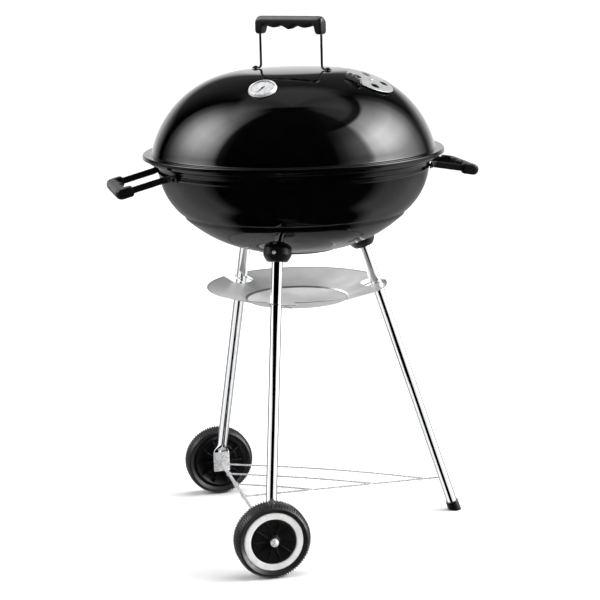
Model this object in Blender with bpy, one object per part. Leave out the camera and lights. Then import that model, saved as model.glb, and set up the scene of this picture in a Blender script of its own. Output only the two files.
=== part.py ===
"""Kettle charcoal grill on three legs, with two wheels, an ash tray and a wire shelf.

Frame: metres, +Z up, the ground at z = 0. The bowl, the lid and the tray are turned
about the Z axis. +X points to the single leg that ends in a foot cap; the wheel axle
lies along Y behind the bowl's axis.
"""
import bpy
import bmesh
from math import acos, asin, atan2, cos, exp, hypot, pi, radians, sin, sqrt, tan
from mathutils import Matrix, Vector

# ---------------------------------------------------------------- driving dimensions
GAP = 0.0003                # clearance between touching pieces
SHEET = 0.0015              # enamelled steel of bowl and lid
AROUND = 36                 # facets round the big turned pieces

# lid: a dome whose side is one arc swept about the axis, with an almost flat crown
FLANGE_R = 0.285            # outer radius of the lid's flange, the widest turned edge
DOME_ARC_R = 0.1915
DOME_ARC_AT = (0.0815, 0.7035)
CROWN_ANGLE = radians(3.2)
DOME_BASE_Z = 0.7455
LIP_Z = 0.7385              # lower edge of the lid's turned-down lip

# bowl: flared collar, rounded wall, a ledge that carries the charcoal grate, shallow dish
RIM_BEAD_R = 0.0028
RIM_BEAD_AT = (0.2790, 0.7408)
# The bowl's flare, from under the rim bead down to the upright band that holds the handles.
FLARE = [(0.2784, 0.7381), (0.2757, 0.7328), (0.2665, 0.7276), (0.2572, 0.7201)]
BAND_BOTTOM = (0.2577, 0.7112)
WALL_ARC_R = 0.1207
WALL_ARC_AT = (0.1358, 0.7220)
WALL_TOP_Z = 0.7092
LEDGE_Z = 0.6320
LEDGE_INNER = (0.2112, 0.6304)
DISH_R = 0.2085
DISH_BOTTOM_Z = 0.5550
DISH_DEPTH = 0.0675
DISH_POWER = 2.77

# stand
LEG_R = 0.0105
LEG_WALL = 0.0012
FOOT_LEG_SLOPE = 0.3254     # radial spread per metre of height
WHEEL_LEG_R_AT_600 = 0.1297 # distance of a leg's axis from the Z axis at z = 0.6
FOOT_LEG_R_AT_600 = 0.1185
WHEEL_LEG_TOP_AZ = {"left": radians(122.0), "right": radians(-117.5)}
WHEEL_LEG_LOW_X = {"left": -0.1220, "right": -0.1140}   # the legs' axes at the axle's height
AXLE_X = -0.1180
AXLE_R = 0.0033
PLATE_Y = 0.2280            # middle of a wheel leg's flattened end
PLATE_HALF_WIDTH = 0.0165
PLATE_HALF_THICK = 0.0020
SOCKET_BOTTOM_DROP = 0.0215 # socket length along the leg's axis, below the bowl
LEG_TOP_DROP = 0.0035       # plastic left between the bowl and the leg's upper end
FOOT_CAP_HEIGHT = 0.0190

# wheels
WHEEL_R = 0.0700
WHEEL_IN_Y = 0.2400
WHEEL_OUT_Y = 0.2790
RIM_R = 0.0550
WHITE_RING_IN_R = 0.0423

# handles: one moulded grip, used on the lid and on both sides
GRIP_LENGTH = 0.1475
GRIP_WIDTH = 0.0200
GRIP_REACH = 0.0335         # from the grip's back to the ends of its lugs
GRIP_BODY = 0.0205
SIDE_BAR_HALF_GAP = 0.0655
SIDE_BAR_Z = 0.7120         # height of the bars' middle where x = 0.25
# Tilt of each side handle below level, and how far out the back of its grip is.
SIDE_HANDLES = {"front": (radians(10.4), 0.3470), "back": (radians(14.6), 0.3522)}
LID_WIRE_R = 0.00225
LID_WIRE_HALF_GAP = 0.0680
LID_HANDLE_AZ = radians(-46)
LID_GRIP_TOP_Z = 0.9950

# lid fittings
THERMO_AZ = radians(-121)
THERMO_R = 0.168
THERMO_CASE_R = 0.0275
NEEDLE_REST = radians(-22)  # cold: the pointer hangs just left of the dial's low side
VENT_AZ = radians(-39.6)
VENT_R = 0.1619
VENT_DISC_R = 0.0455
VENT_HOLE_R = 0.0085
VENT_HOLE_PCR = 0.0280
VENT_TAB_TURN = radians(-15)  # round the disc, from its nearest point to the rim's own tangent
VENT_DISH_R = 0.3600        # the vent disc is pressed to this radius

# trays and grates
TRAY_RIM = (0.1726, 0.4855)
TRAY_INNER = (0.1050, 0.4630)
TRAY_PAN = (0.1020, 0.4600)
TRAY_SHEET = 0.0012
TRAY_TURN = radians(4)
NOTCH_HALF_WIDTH = 0.0260
NOTCH_IN_R = 0.1340
COOK_RING_R = 0.2560
COOK_RING_Z = 0.7259
COAL_RING_R = 0.2112
COAL_RING_Z = 0.6358
GRATE_RING_WIRE_R = 0.0030
SHELF_Z = 0.0700

LEGS = ("front", "left", "right")   # front has the foot cap, left is at +Y, right at -Y


# ---------------------------------------------------------------- scene and materials
def clear_scene():
    for obj in list(bpy.data.objects):
        bpy.data.objects.remove(obj, do_unlink=True)


def make_material(name, colour, roughness, metallic):
    mat = bpy.data.materials.new(name)
    mat.use_nodes = True
    shader = mat.node_tree.nodes["Principled BSDF"]
    shader.inputs["Base Color"].default_value = (*colour, 1.0)
    shader.inputs["Roughness"].default_value = roughness
    shader.inputs["Metallic"].default_value = metallic
    mat.diffuse_color = (*colour, 1.0)
    return mat


def make_materials():
    return {
        "enamel": make_material("enamel", (0.006, 0.006, 0.007), 0.08, 0.0),
        "black_plastic": make_material("black_plastic", (0.012, 0.012, 0.013), 0.35, 0.0),
        "black_steel": make_material("black_steel", (0.01, 0.01, 0.01), 0.4, 0.0),
        "chrome": make_material("chrome", (0.82, 0.83, 0.85), 0.06, 1.0),
        "zinc": make_material("zinc", (0.62, 0.63, 0.65), 0.3, 1.0),
        "aluminium": make_material("aluminium", (0.66, 0.66, 0.67), 0.38, 1.0),
        "tyre": make_material("tyre", (0.02, 0.02, 0.022), 0.6, 0.0),
        "white_plastic": make_material("white_plastic", (0.85, 0.85, 0.84), 0.35, 0.0),
        "dial": make_material("dial", (0.78, 0.79, 0.8), 0.4, 0.3),
        "needle": make_material("needle", (0.02, 0.02, 0.02), 0.4, 0.0),
        "lens": make_material("lens", (0.9, 0.95, 0.95), 0.03, 0.0),
    }


# ---------------------------------------------------------------- mesh helpers
def new_object(name, bm, material=None, sharp_deg=35):
    """Weld, orient and shade a bmesh, and put it in the scene as one object."""
    bmesh.ops.remove_doubles(bm, verts=bm.verts, dist=1e-6)
    bmesh.ops.recalc_face_normals(bm, faces=bm.faces)
    mesh = bpy.data.meshes.new(name)
    bm.to_mesh(mesh)
    bm.free()
    obj = bpy.data.objects.new(name, mesh)
    bpy.context.scene.collection.objects.link(obj)
    finish(obj, material, sharp_deg)
    return obj


def finish(obj, material, sharp_deg=35):
    if material is not None:
        obj.data.materials.clear()
        obj.data.materials.append(material)
    obj.data.shade_smooth()
    obj.data.set_sharp_from_angle(angle=radians(sharp_deg))


def place(obj, matrix):
    obj.data.transform(matrix)
    obj.data.update()
    return obj


def set_pivot(obj, point):
    """Put the object's origin on its joint's axis without moving its mesh."""
    obj.data.transform(Matrix.Translation(-Vector(point)))
    obj.location = point


def turned(profile, steps, closed):
    """Turn a profile of (radius, height) about Z. An open profile starts and ends on the axis."""
    bm = bmesh.new()
    verts = [bm.verts.new((r, 0.0, z)) for r, z in profile]
    pairs = list(zip(verts, verts[1:]))
    if closed:
        pairs.append((verts[-1], verts[0]))
    edges = [bm.edges.new(pair) for pair in pairs]
    bmesh.ops.spin(bm, geom=verts + edges, cent=(0, 0, 0), axis=(0, 0, 1),
                   angle=2 * pi, steps=steps, use_merge=True)
    bmesh.ops.remove_doubles(bm, verts=bm.verts, dist=1e-7)
    return bm


def loft(rings, fan_ends=True):
    """Skin equal rings of points one after another and close both ends."""
    bm = bmesh.new()
    rows = [[bm.verts.new(p) for p in ring] for ring in rings]
    count = len(rows[0])
    for a, b in zip(rows, rows[1:]):
        for i in range(count):
            j = (i + 1) % count
            bm.faces.new((a[i], a[j], b[j], b[i]))
    for row in (rows[0], rows[-1]):
        if fan_ends:
            middle = bm.verts.new(sum((v.co for v in row), Vector()) / count)
            for i in range(count):
                bm.faces.new((row[i], row[(i + 1) % count], middle))
        else:
            bm.faces.new(row)
    return bm


def extruded(outline, low, high):
    """Extrude a flat (x, y) outline along Z."""
    bm = bmesh.new()
    face = bm.faces.new([bm.verts.new((x, y, low)) for x, y in outline])
    top = bmesh.ops.extrude_face_region(bm, geom=[face])["geom"]
    moved = [g for g in top if isinstance(g, bmesh.types.BMVert)]
    bmesh.ops.translate(bm, verts=moved, vec=(0, 0, high - low))
    return bm


def rod(radius, low, high, sides=16):
    return extruded([(radius * cos(2 * pi * i / sides), radius * sin(2 * pi * i / sides))
                     for i in range(sides)], low, high)


def join(parts):
    """Put several bmeshes in one."""
    out = bmesh.new()
    for part in parts:
        mesh = bpy.data.meshes.new("joined")
        part.to_mesh(mesh)
        part.free()
        out.from_mesh(mesh)
        bpy.data.meshes.remove(mesh)
    return out


def moved(bm, matrix):
    bmesh.ops.transform(bm, matrix=matrix, verts=bm.verts)
    return bm


def tube(points, radius, sides=8, cyclic=False):
    """A round wire along a run of points, as a closed bmesh."""
    curve = bpy.data.curves.new("wire", "CURVE")
    curve.dimensions = "3D"
    curve.bevel_depth = radius
    curve.bevel_resolution = sides // 2 - 2
    curve.use_fill_caps = True
    spline = curve.splines.new("POLY")
    spline.points.add(len(points) - 1)
    for target, point in zip(spline.points, points):
        target.co = (*point, 1.0)
    spline.use_cyclic_u = cyclic
    obj = bpy.data.objects.new("wire", curve)
    bpy.context.scene.collection.objects.link(obj)
    graph = bpy.context.evaluated_depsgraph_get()
    mesh = bpy.data.meshes.new_from_object(obj.evaluated_get(graph))
    bm = bmesh.new()
    bm.from_mesh(mesh)
    bmesh.ops.remove_doubles(bm, verts=bm.verts, dist=1e-6)
    bpy.data.objects.remove(obj)
    bpy.data.meshes.remove(mesh)
    return bm


def ring_wire(ring_r, wire_r, z, around, sides=6):
    """A closed wire ring about the Z axis."""
    section = [(ring_r + wire_r * cos(2 * pi * k / sides), z + wire_r * sin(2 * pi * k / sides))
               for k in range(sides)]
    return turned(section, around, closed=True)


def strip(path, width, thickness, plane):
    """A flat bar along a plan path, its width square to the plan; plane maps (u, v, w) to 3-D."""
    rings = []
    for i, (u, v) in enumerate(path):
        before = path[max(i - 1, 0)]
        after = path[min(i + 1, len(path) - 1)]
        d1 = Vector((u - before[0], v - before[1]))
        d2 = Vector((after[0] - u, after[1] - v))
        d1 = d1.normalized() if d1.length else d2.normalized()
        d2 = d2.normalized() if d2.length else d1
        side = Vector((-(d1 + d2).y, (d1 + d2).x)).normalized()
        reach = thickness / 2 / max(side.dot(Vector((-d1.y, d1.x))), 0.5)
        rings.append([plane @ Vector((u + s * side.x * reach, v + s * side.y * reach, w * width / 2))
                      for s, w in ((1, 1), (-1, 1), (-1, -1), (1, -1))])
    return loft(rings, fan_ends=False)


def combine(obj, tool_bm, operation):
    """Apply one exact boolean of a tool shape on an object."""
    tool = new_object("tool", tool_bm)
    modifier = obj.modifiers.new(operation.title(), "BOOLEAN")
    modifier.operation = operation
    modifier.solver = "EXACT"
    modifier.object = tool
    graph = bpy.context.evaluated_depsgraph_get()
    mesh = bpy.data.meshes.new_from_object(obj.evaluated_get(graph))
    obj.modifiers.clear()
    obj.data = mesh
    bpy.data.objects.remove(tool)
    bm = bmesh.new()
    bm.from_mesh(mesh)
    bmesh.ops.remove_doubles(bm, verts=bm.verts, dist=2e-6)
    bmesh.ops.dissolve_degenerate(bm, edges=bm.edges, dist=1e-6)
    bm.to_mesh(mesh)
    bm.free()
    return obj


def arc(centre, radius, start, end, steps):
    """Points on a circle in a plane, from one angle to another."""
    return [(centre[0] + radius * cos(start + (end - start) * i / steps),
             centre[1] + radius * sin(start + (end - start) * i / steps)) for i in range(steps + 1)]


def offset(profile, distance):
    """Shift an open profile to its left by a distance, with mitred corners."""
    out = []
    for i, (x, y) in enumerate(profile):
        before = Vector(profile[max(i - 1, 0)])
        after = Vector(profile[min(i + 1, len(profile) - 1)])
        here = Vector((x, y))
        d1 = (here - before).normalized() if i else (after - here).normalized()
        d2 = (after - here).normalized() if i < len(profile) - 1 else d1
        n1 = Vector((-d1.y, d1.x))
        normal = (n1 + Vector((-d2.y, d2.x))).normalized()
        shift = normal * distance / max(normal.dot(n1), 0.4)
        out.append((here.x + shift.x, here.y + shift.y))
    return out


def frame_matrix(origin, axis, toward):
    """A frame with Z along axis and X as near as can be to toward."""
    z = Vector(axis).normalized()
    x = (Vector(toward) - z * z.dot(Vector(toward))).normalized()
    y = z.cross(x)
    return Matrix(((x.x, y.x, z.x, origin[0]), (x.y, y.y, z.y, origin[1]),
                   (x.z, y.z, z.z, origin[2]), (0, 0, 0, 1)))


# ---------------------------------------------------------------- turned profiles
def dome_z(r):
    """Height of the lid's outer surface at a radius."""
    crown_r = DOME_ARC_AT[0] + DOME_ARC_R * sin(CROWN_ANGLE)
    if r >= crown_r:
        return DOME_ARC_AT[1] + sqrt(DOME_ARC_R ** 2 - (r - DOME_ARC_AT[0]) ** 2)
    big = crown_r / sin(CROWN_ANGLE)
    edge_z = DOME_ARC_AT[1] + DOME_ARC_R * cos(CROWN_ANGLE)
    return edge_z - big * cos(CROWN_ANGLE) + sqrt(big ** 2 - r ** 2)


def facet_stretch(azimuth):
    """How far a facet lies inside its corner circle at an azimuth, as a factor of the radius."""
    step = 2 * pi / AROUND
    return cos(step / 2) / cos(azimuth % step - step / 2)


def height_at(profile, x, y):
    """Height of a turned piece's facets over a point, from its (radius, height) profile."""
    r = hypot(x, y) / facet_stretch(atan2(y, x))
    for (r0, z0), (r1, z1) in zip(profile, profile[1:]):
        if min(r0, r1) <= r <= max(r0, r1) and r0 != r1:
            return z0 + (z1 - z0) * (r - r0) / (r1 - r0)
    return profile[-1][1]


def radius_at(profile, azimuth, z):
    """Radius of a turned piece's facets at an azimuth and a height."""
    for (r0, z0), (r1, z1) in zip(profile, profile[1:]):
        if min(z0, z1) <= z <= max(z0, z1) and z0 != z1:
            return (r0 + (r1 - r0) * (z - z0) / (z1 - z0)) * facet_stretch(azimuth)
    return profile[0][0]


def dome_frame(r, azimuth):
    """A frame on the dome: Z along the outward normal, X down the slope."""
    lean = asin((r - DOME_ARC_AT[0]) / DOME_ARC_R)
    out = Vector((cos(azimuth), sin(azimuth), 0))
    normal = out * sin(lean) + Vector((0, 0, cos(lean)))
    z = height_at(lid_outer(), out.x * r, out.y * r)
    return frame_matrix(out * r + Vector((0, 0, z)), normal, out)


def dish_z(r):
    """Height of the bowl's outer surface in the dish below the ledge."""
    return DISH_BOTTOM_Z + DISH_DEPTH * (r / DISH_R) ** DISH_POWER


def lid_outer():
    """Outer line of the lid: crown, dome, flange and turned-down lip."""
    base_angle = acos((DOME_BASE_Z - DOME_ARC_AT[1]) / DOME_ARC_R)
    crown_r = DOME_ARC_AT[0] + DOME_ARC_R * sin(CROWN_ANGLE)
    crown = [(crown_r * i / 2, dome_z(crown_r * i / 2)) for i in range(2)]
    side = [(r, z) for r, z in arc(DOME_ARC_AT, DOME_ARC_R, pi / 2 - CROWN_ANGLE,
                                   pi / 2 - base_angle, 9)]
    edge = [(FLANGE_R - 0.0020, DOME_BASE_Z + 0.0004), (FLANGE_R, DOME_BASE_Z - 0.0014),
            (FLANGE_R, LIP_Z)]
    return crown + side + edge


def lid_profile():
    """Closed section of the lid: down the outside to the lip and back inside."""
    outer = lid_outer()
    inner = offset(outer, -SHEET)
    inner[0] = (0.0, outer[0][1] - SHEET)
    return outer + list(reversed(inner))


def bowl_outer():
    """Outer line of the bowl from under the rim bead to the middle of the dish."""
    start = asin((WALL_ARC_AT[1] - WALL_TOP_Z) / WALL_ARC_R)
    end = asin((WALL_ARC_AT[1] - LEDGE_Z) / WALL_ARC_R)
    wall = arc(WALL_ARC_AT, WALL_ARC_R, -start, -end, 5)
    dish_steps = 5
    dish = [(DISH_R * (1 - i / dish_steps), dish_z(DISH_R * (1 - i / dish_steps)))
            for i in range(dish_steps + 1)]
    return FLARE + [BAND_BOTTOM] + wall + [LEDGE_INNER] + dish


def bowl_profile():
    """Closed section of the bowl: the sheet's outside, its inside and the rolled rim bead."""
    outer = bowl_outer()
    inner = offset(outer, -SHEET)
    inner[-1] = (0.0, outer[-1][1] + SHEET)
    bead = arc(RIM_BEAD_AT, RIM_BEAD_R, radians(215), radians(-65), 5)
    return list(reversed(inner)) + bead + outer[1:]


def bowl_block(gap):
    """A solid with the outside shape of the bowl, grown by a gap, to cut neighbours with."""
    outer = offset(bowl_outer(), gap)
    outer[-1] = (0.0, DISH_BOTTOM_Z - gap)
    return turned([(0.0, outer[0][1])] + outer, AROUND, closed=False)


# ---------------------------------------------------------------- leg geometry
def leg_axis(name):
    """Where a leg's axis is at z = 0.6, and its direction per metre downwards."""
    if name == "front":
        return Vector((FOOT_LEG_R_AT_600, 0, 0.6)), Vector((FOOT_LEG_SLOPE, 0, -1))
    side = 1 if name == "left" else -1
    azimuth = WHEEL_LEG_TOP_AZ[name]
    top = Vector((WHEEL_LEG_R_AT_600 * cos(azimuth), WHEEL_LEG_R_AT_600 * sin(azimuth), 0.6))
    low = Vector((WHEEL_LEG_LOW_X[name], side * PLATE_Y, SHELF_Z))
    return top, (low - top) / (0.6 - SHELF_Z)


def leg_point(name, z):
    top, down = leg_axis(name)
    return top + down * (0.6 - z)


def under_bowl(point, direction, gap):
    """Follow a line upwards from a point until it is a gap below the bowl's dish."""
    dish = bowl_outer()[-7:]
    low, high = -0.05, 0.12
    for _ in range(40):
        middle = (low + high) / 2
        p = point + direction * middle
        if p.z < height_at(dish, p.x, p.y) - gap:
            low = middle
        else:
            high = middle
    return point + direction * low


def leg_frame(name):
    """Frame of a leg's socket: origin where the leg's axis meets the bowl, Z up the leg."""
    top, down = leg_axis(name)
    up = -down.normalized()
    origin = under_bowl(leg_point(name, 0.5), up, 0.0)
    outward = Vector((origin.x, origin.y, 0))
    return frame_matrix(origin, up, outward)


# ---------------------------------------------------------------- bowl and lid
def build_bowl(mats):
    """The bowl, with holes for handle rivets, socket bolts, bottom vents and the vent's pivot."""
    bowl = new_object("bowl_shell", turned(bowl_profile(), AROUND, closed=False), mats["enamel"])
    cutters = []
    for name in LEGS:
        cutters.append(moved(rod(0.0031, -0.02, 0.02, 12), leg_frame(name)))
    for name in SIDE_HANDLES:
        for side in (1, -1):
            cutters.append(moved(rod(0.0029, -0.02, 0.02, 12), rivet_frame(name, side)))
    for i in range(3):
        spin = Matrix.Rotation(2 * pi * i / 3 + radians(60), 4, "Z")
        cutters.append(moved(rod(0.0130, 0.54, 0.60, 14), spin @ Matrix.Translation((0.042, 0, 0))))
    cutters.append(rod(0.0033, 0.54, 0.60, 12))
    combine(bowl, join(cutters), "DIFFERENCE")
    finish(bowl, mats["enamel"])


def build_bottom_damper(mats):
    """A thin turning disc under the bowl with three holes and a thumb lever, and its pivot."""
    radii = [0.0725 * i / 4 for i in range(5)]
    upper = [(r, dish_z(r) - 0.0008) for r in radii]
    lower = [(r, z - 0.0014) for r, z in upper]
    disc = turned(upper + list(reversed(lower)), 28, closed=False)
    damper = new_object("bottom_damper", disc, mats["black_steel"])
    lever_z = dish_z(0.0725) - 0.0008
    lever = extruded([(0.0640, -0.0080), (0.0640, 0.0080), (0.0860, 0.0100), (0.0920, 0.0060),
                      (0.0920, -0.0060), (0.0860, -0.0100)], lever_z - 0.0042, lever_z - 0.0026)
    post = moved(rod(0.0050, lever_z - 0.0034, lever_z - 0.0008, 10), Matrix.Translation((0.0672, 0, 0)))
    turn = Matrix.Rotation(radians(60), 4, "Z")
    combine(damper, moved(post, turn), "UNION")
    combine(damper, moved(lever, turn), "UNION")
    holes = [rod(0.0032, 0.53, 0.58, 12)]
    for i in range(3):
        spin = Matrix.Rotation(2 * pi * i / 3, 4, "Z")
        holes.append(moved(rod(0.0130, 0.53, 0.58, 14), spin @ Matrix.Translation((0.042, 0, 0))))
    combine(damper, join(holes), "DIFFERENCE")
    finish(damper, mats["black_steel"])
    low = DISH_BOTTOM_Z - 0.0008 - 0.0014
    high = DISH_BOTTOM_Z + SHEET
    pivot = [(0, high + 0.003), (0.004, high + 0.0026), (0.0065, high + 0.0012), (0.0067, high + GAP),
             (0.0028, high + GAP), (0.0028, low - GAP), (0.0070, low - GAP), (0.0070, low - 0.0014),
             (0.0042, low - 0.0032), (0, low - 0.0036)]
    new_object("bottom_damper_rivet", turned(pivot, 12, closed=False), mats["zinc"])


def build_lid(mats):
    """The lid, with its four vent holes and the holes for handle rivets, vent rivet and probe."""
    lid = new_object("lid_shell", turned(lid_profile(), AROUND, closed=False), mats["enamel"])
    vent = dome_frame(VENT_R, VENT_AZ)
    cutters = [moved(rod(VENT_HOLE_R, -0.02, 0.02, 14), vent @ Matrix.Translation((x, y, 0)))
               for x, y in vent_hole_centres(0)]
    cutters.append(moved(rod(0.0028, -0.02, 0.02, 12), vent))
    cutters.append(moved(rod(0.0048, -0.02, 0.02, 14), dome_frame(THERMO_R, THERMO_AZ)))
    for side in (1, -1):
        cutters.append(moved(rod(0.0026, -0.02, 0.02, 12), lid_rivet_frame(side)))
    combine(lid, join(cutters), "DIFFERENCE")
    finish(lid, mats["enamel"])
    set_pivot(lid, (0, 0, LIP_Z))


def vent_hole_centres(turn):
    angles = [radians(45) + turn + i * pi / 2 for i in range(4)]
    return [(VENT_HOLE_PCR * cos(a), VENT_HOLE_PCR * sin(a)) for a in angles]


# ---------------------------------------------------------------- lid fittings
def build_lid_vent(mats):
    """The turning disc over the lid's vent holes, its black thumb grip and the centre rivet."""
    frame = dome_frame(VENT_R, VENT_AZ)
    lift = 0.0010
    radii = [VENT_DISC_R * i / 3 for i in range(4)]
    upper = [(r, lift + 0.0012 - (VENT_DISH_R - sqrt(VENT_DISH_R ** 2 - r * r))) for r in radii]
    rim = [(VENT_DISC_R, upper[-1][1] - 0.0012)]
    lower = [(r, z - 0.0012) for r, z in upper]
    disc = new_object("lid_vent_disc",
                      turned(upper + rim + list(reversed(lower[:-1])), 32, closed=False),
                      mats["zinc"])
    ear_z = upper[-1][1]
    tab_turn = Matrix.Rotation(VENT_TAB_TURN, 4, "Z")
    ear_in, ear_out = VENT_DISC_R - 0.0022, VENT_DISC_R + 0.0053
    ear = extruded([(-0.011, -ear_in), (0.011, -ear_in), (0.011, -ear_out), (-0.011, -ear_out)],
                   ear_z - 0.0012, ear_z)
    combine(disc, moved(ear, tab_turn), "UNION")
    holes = [moved(rod(VENT_HOLE_R, -0.02, 0.02, 14), Matrix.Translation((x, y, 0)))
             for x, y in vent_hole_centres(0)]
    combine(disc, join(holes + [rod(0.0028, -0.02, 0.02, 12)]), "DIFFERENCE")
    finish(disc, mats["zinc"])
    place(disc, frame)
    set_pivot(disc, frame.translation)

    outline = [(-0.0195, -0.0010)]
    steps = 18
    for i in range(steps + 1):
        x = -0.0195 + 0.039 * i / steps
        outline.append((x, 0.0088 + 0.0014 * cos(2 * pi * x / 0.013) - 12.0 * x * x))
    outline.append((0.0195, -0.0010))
    tab = extruded(outline, -0.0034, 0.0034)
    stand_up = frame_matrix((0, -VENT_DISC_R - 0.0038, ear_z), (0, -1, 0), (1, 0, 0))
    grip = new_object("lid_vent_tab", moved(tab, frame @ tab_turn @ stand_up),
                      mats["black_plastic"])
    slot_in, slot_out = VENT_DISC_R - 0.0042, VENT_DISC_R + 0.0058
    slot = extruded([(-0.0115, -slot_in), (0.0115, -slot_in), (0.0115, -slot_out),
                     (-0.0115, -slot_out)], ear_z - 0.0012 - GAP, ear_z + GAP)
    combine(grip, moved(slot, frame @ tab_turn), "DIFFERENCE")
    finish(grip, mats["black_plastic"])
    set_pivot(grip, frame.translation)

    top = upper[0][1]
    rivet = [(0, top + 0.0026), (0.0030, top + 0.0022), (0.0055, top + 0.0008), (0.0055, top + GAP),
             (0.0025, top + GAP), (0.0025, -SHEET - GAP - 0.0004), (0.0050, -SHEET - GAP - 0.0004),
             (0.0050, -SHEET - 0.0014), (0, -SHEET - 0.0024)]
    new_object("lid_vent_rivet", moved(turned(rivet, 12, closed=False), frame), mats["zinc"])


def build_thermometer(mats):
    """A round dial thermometer: case with its stem, dial, needle, lens and the nut inside."""
    frame = dome_frame(THERMO_R, THERMO_AZ)
    r = THERMO_CASE_R
    case = [(0, -0.0520), (0.0018, -0.0516), (0.0026, -0.0500), (0.0026, -0.0130), (0.0044, -0.0120),
            (0.0044, 0.0006), (0.0150, 0.0008), (0.0245, 0.0016), (0.0262, 0.0030), (r, 0.0048),
            (r, 0.0078), (r - 0.0010, 0.0090), (r - 0.0026, 0.0092), (r - 0.0034, 0.0086),
            (r - 0.0034, 0.0079), (r - 0.0026, 0.0079), (r - 0.0026, 0.0034), (0.0, 0.0034)]
    body = new_object("thermometer_case", moved(turned(case, 24, closed=False), frame), mats["zinc"])
    finish(body, mats["zinc"])
    inner = r - 0.0026 - GAP
    dial = [(0, 0.0060), (0.0009, 0.0060), (0.0009, 0.0046), (inner, 0.0046), (inner, 0.0037),
            (0, 0.0037)]
    new_object("thermometer_dial", moved(turned(dial, 20, closed=False), frame), mats["dial"])
    lens = [(0, 0.0075), (inner, 0.0075), (inner, 0.0066), (0, 0.0066)]
    new_object("thermometer_lens", moved(turned(lens, 24, closed=False), frame), mats["lens"])
    outline = [(0.0170, 0.0)] + arc((0, 0), 0.0026, radians(25), radians(335), 10)
    outline = outline[:6] + [(-0.0065, 0.0009), (-0.0065, -0.0009)] + outline[7:]
    needle = new_object("thermometer_needle", extruded(outline, 0.0049, 0.0054), mats["needle"])
    combine(needle, rod(0.0013, 0.004, 0.007, 10), "DIFFERENCE")
    finish(needle, mats["needle"])
    place(needle, frame @ Matrix.Rotation(NEEDLE_REST, 4, "Z"))
    set_pivot(needle, frame.translation)
    hexagon = [(0.0080 * cos(pi * i / 3), 0.0080 * sin(pi * i / 3)) for i in range(6)]
    nut = new_object("thermometer_nut", moved(extruded(hexagon, -SHEET - 0.0066, -SHEET - 0.0006), frame),
                     mats["zinc"])
    combine(nut, moved(rod(0.0048, -0.02, 0.02, 16), frame), "DIFFERENCE")
    finish(nut, mats["zinc"])


# ---------------------------------------------------------------- handles
def grip_outline():
    """Side view of the moulded grip: flat back, rounded corners, two lugs, finger scallops."""
    half = GRIP_LENGTH / 2
    corner = 0.0070
    lug_in = half - 0.0140
    back = arc((half - corner, -corner), corner, 0, pi / 2, 4)
    back += arc((-half + corner, -corner), corner, pi / 2, pi, 4)
    left_lug = [(-half, -GRIP_REACH + 0.0015), (-half + 0.0030, -GRIP_REACH),
                (-lug_in - 0.0015, -GRIP_REACH), (-lug_in, -GRIP_REACH + 0.0020)]
    scallops = []
    steps = 20
    for i in range(steps + 1):
        u = (-1 + 2 * i / steps) * (lug_in - 0.0045)
        depth = 0.0217 - 0.045 * abs(u) + (0.0031 - 0.040 * abs(u)) * cos(2 * pi * u / 0.036)
        scallops.append((u, -depth))
    right_lug = [(lug_in, -GRIP_REACH + 0.0020), (lug_in + 0.0015, -GRIP_REACH),
                 (half - 0.0030, -GRIP_REACH), (half, -GRIP_REACH + 0.0015)]
    return back + left_lug + scallops + right_lug


def grip_bmesh():
    """The grip in its own frame: length along X, back at y = 0 facing +Y, width along Z."""
    bm = extruded(grip_outline(), -GRIP_WIDTH / 2, GRIP_WIDTH / 2)
    bmesh.ops.recalc_face_normals(bm, faces=bm.faces)
    rim = [e for e in bm.edges if abs(e.verts[0].co.z - e.verts[1].co.z) < 1e-6]
    bmesh.ops.bevel(bm, geom=rim, offset=0.0022, segments=1, affect="EDGES", profile=0.6)
    return bm


def rivet_frame(name, side):
    """Frame of a side-handle rivet on the outside of the foot, Z outwards."""
    azimuth = asin(SIDE_BAR_HALF_GAP / FOOT_R) + radians(5.0)
    plane = side_plane(name)
    sign = 1 if name == "front" else -1
    out = Vector((cos(azimuth), sign * side * sin(azimuth), 0))
    return frame_matrix(plane @ (out * (FOOT_R + 0.0015)), plane.to_3x3() @ out, (0, 0, 1))


FOOT_R = 0.2602             # middle radius of a side frame's foot, in its tilted plane


def side_frame_path(name):
    """Plan path of a side handle's flat bar, from one foot round the grip to the other foot."""
    half = SIDE_BAR_HALF_GAP
    bar_az = asin(half / FOOT_R)
    foot = arc((0, 0), FOOT_R, bar_az + radians(8.0), bar_az + radians(2.0), 4)
    bend_r = 0.0045
    across = SIDE_HANDLES[name][1] - GRIP_BODY / 2
    entry = [(FOOT_R * cos(bar_az) + 0.0046, half + 0.0022), (FOOT_R * cos(bar_az) + 0.0085, half)]
    corner = arc((across - bend_r, half - bend_r), bend_r, pi / 2, 0, 3)
    one_side = foot + entry + corner
    return one_side + [(x, -y) for x, y in reversed(one_side)]


def side_plane(name):
    """Maps the handle's own plane, tilted down outwards, to the grill's frame."""
    flip = Matrix.Rotation(0 if name == "front" else pi, 4, "Z")
    hinge = Matrix.Translation((0.25, 0, SIDE_BAR_Z))
    tilt = Matrix.Rotation(SIDE_HANDLES[name][0], 4, "Y")
    return flip @ hinge @ tilt @ Matrix.Translation((-0.25, 0, 0))


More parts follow.
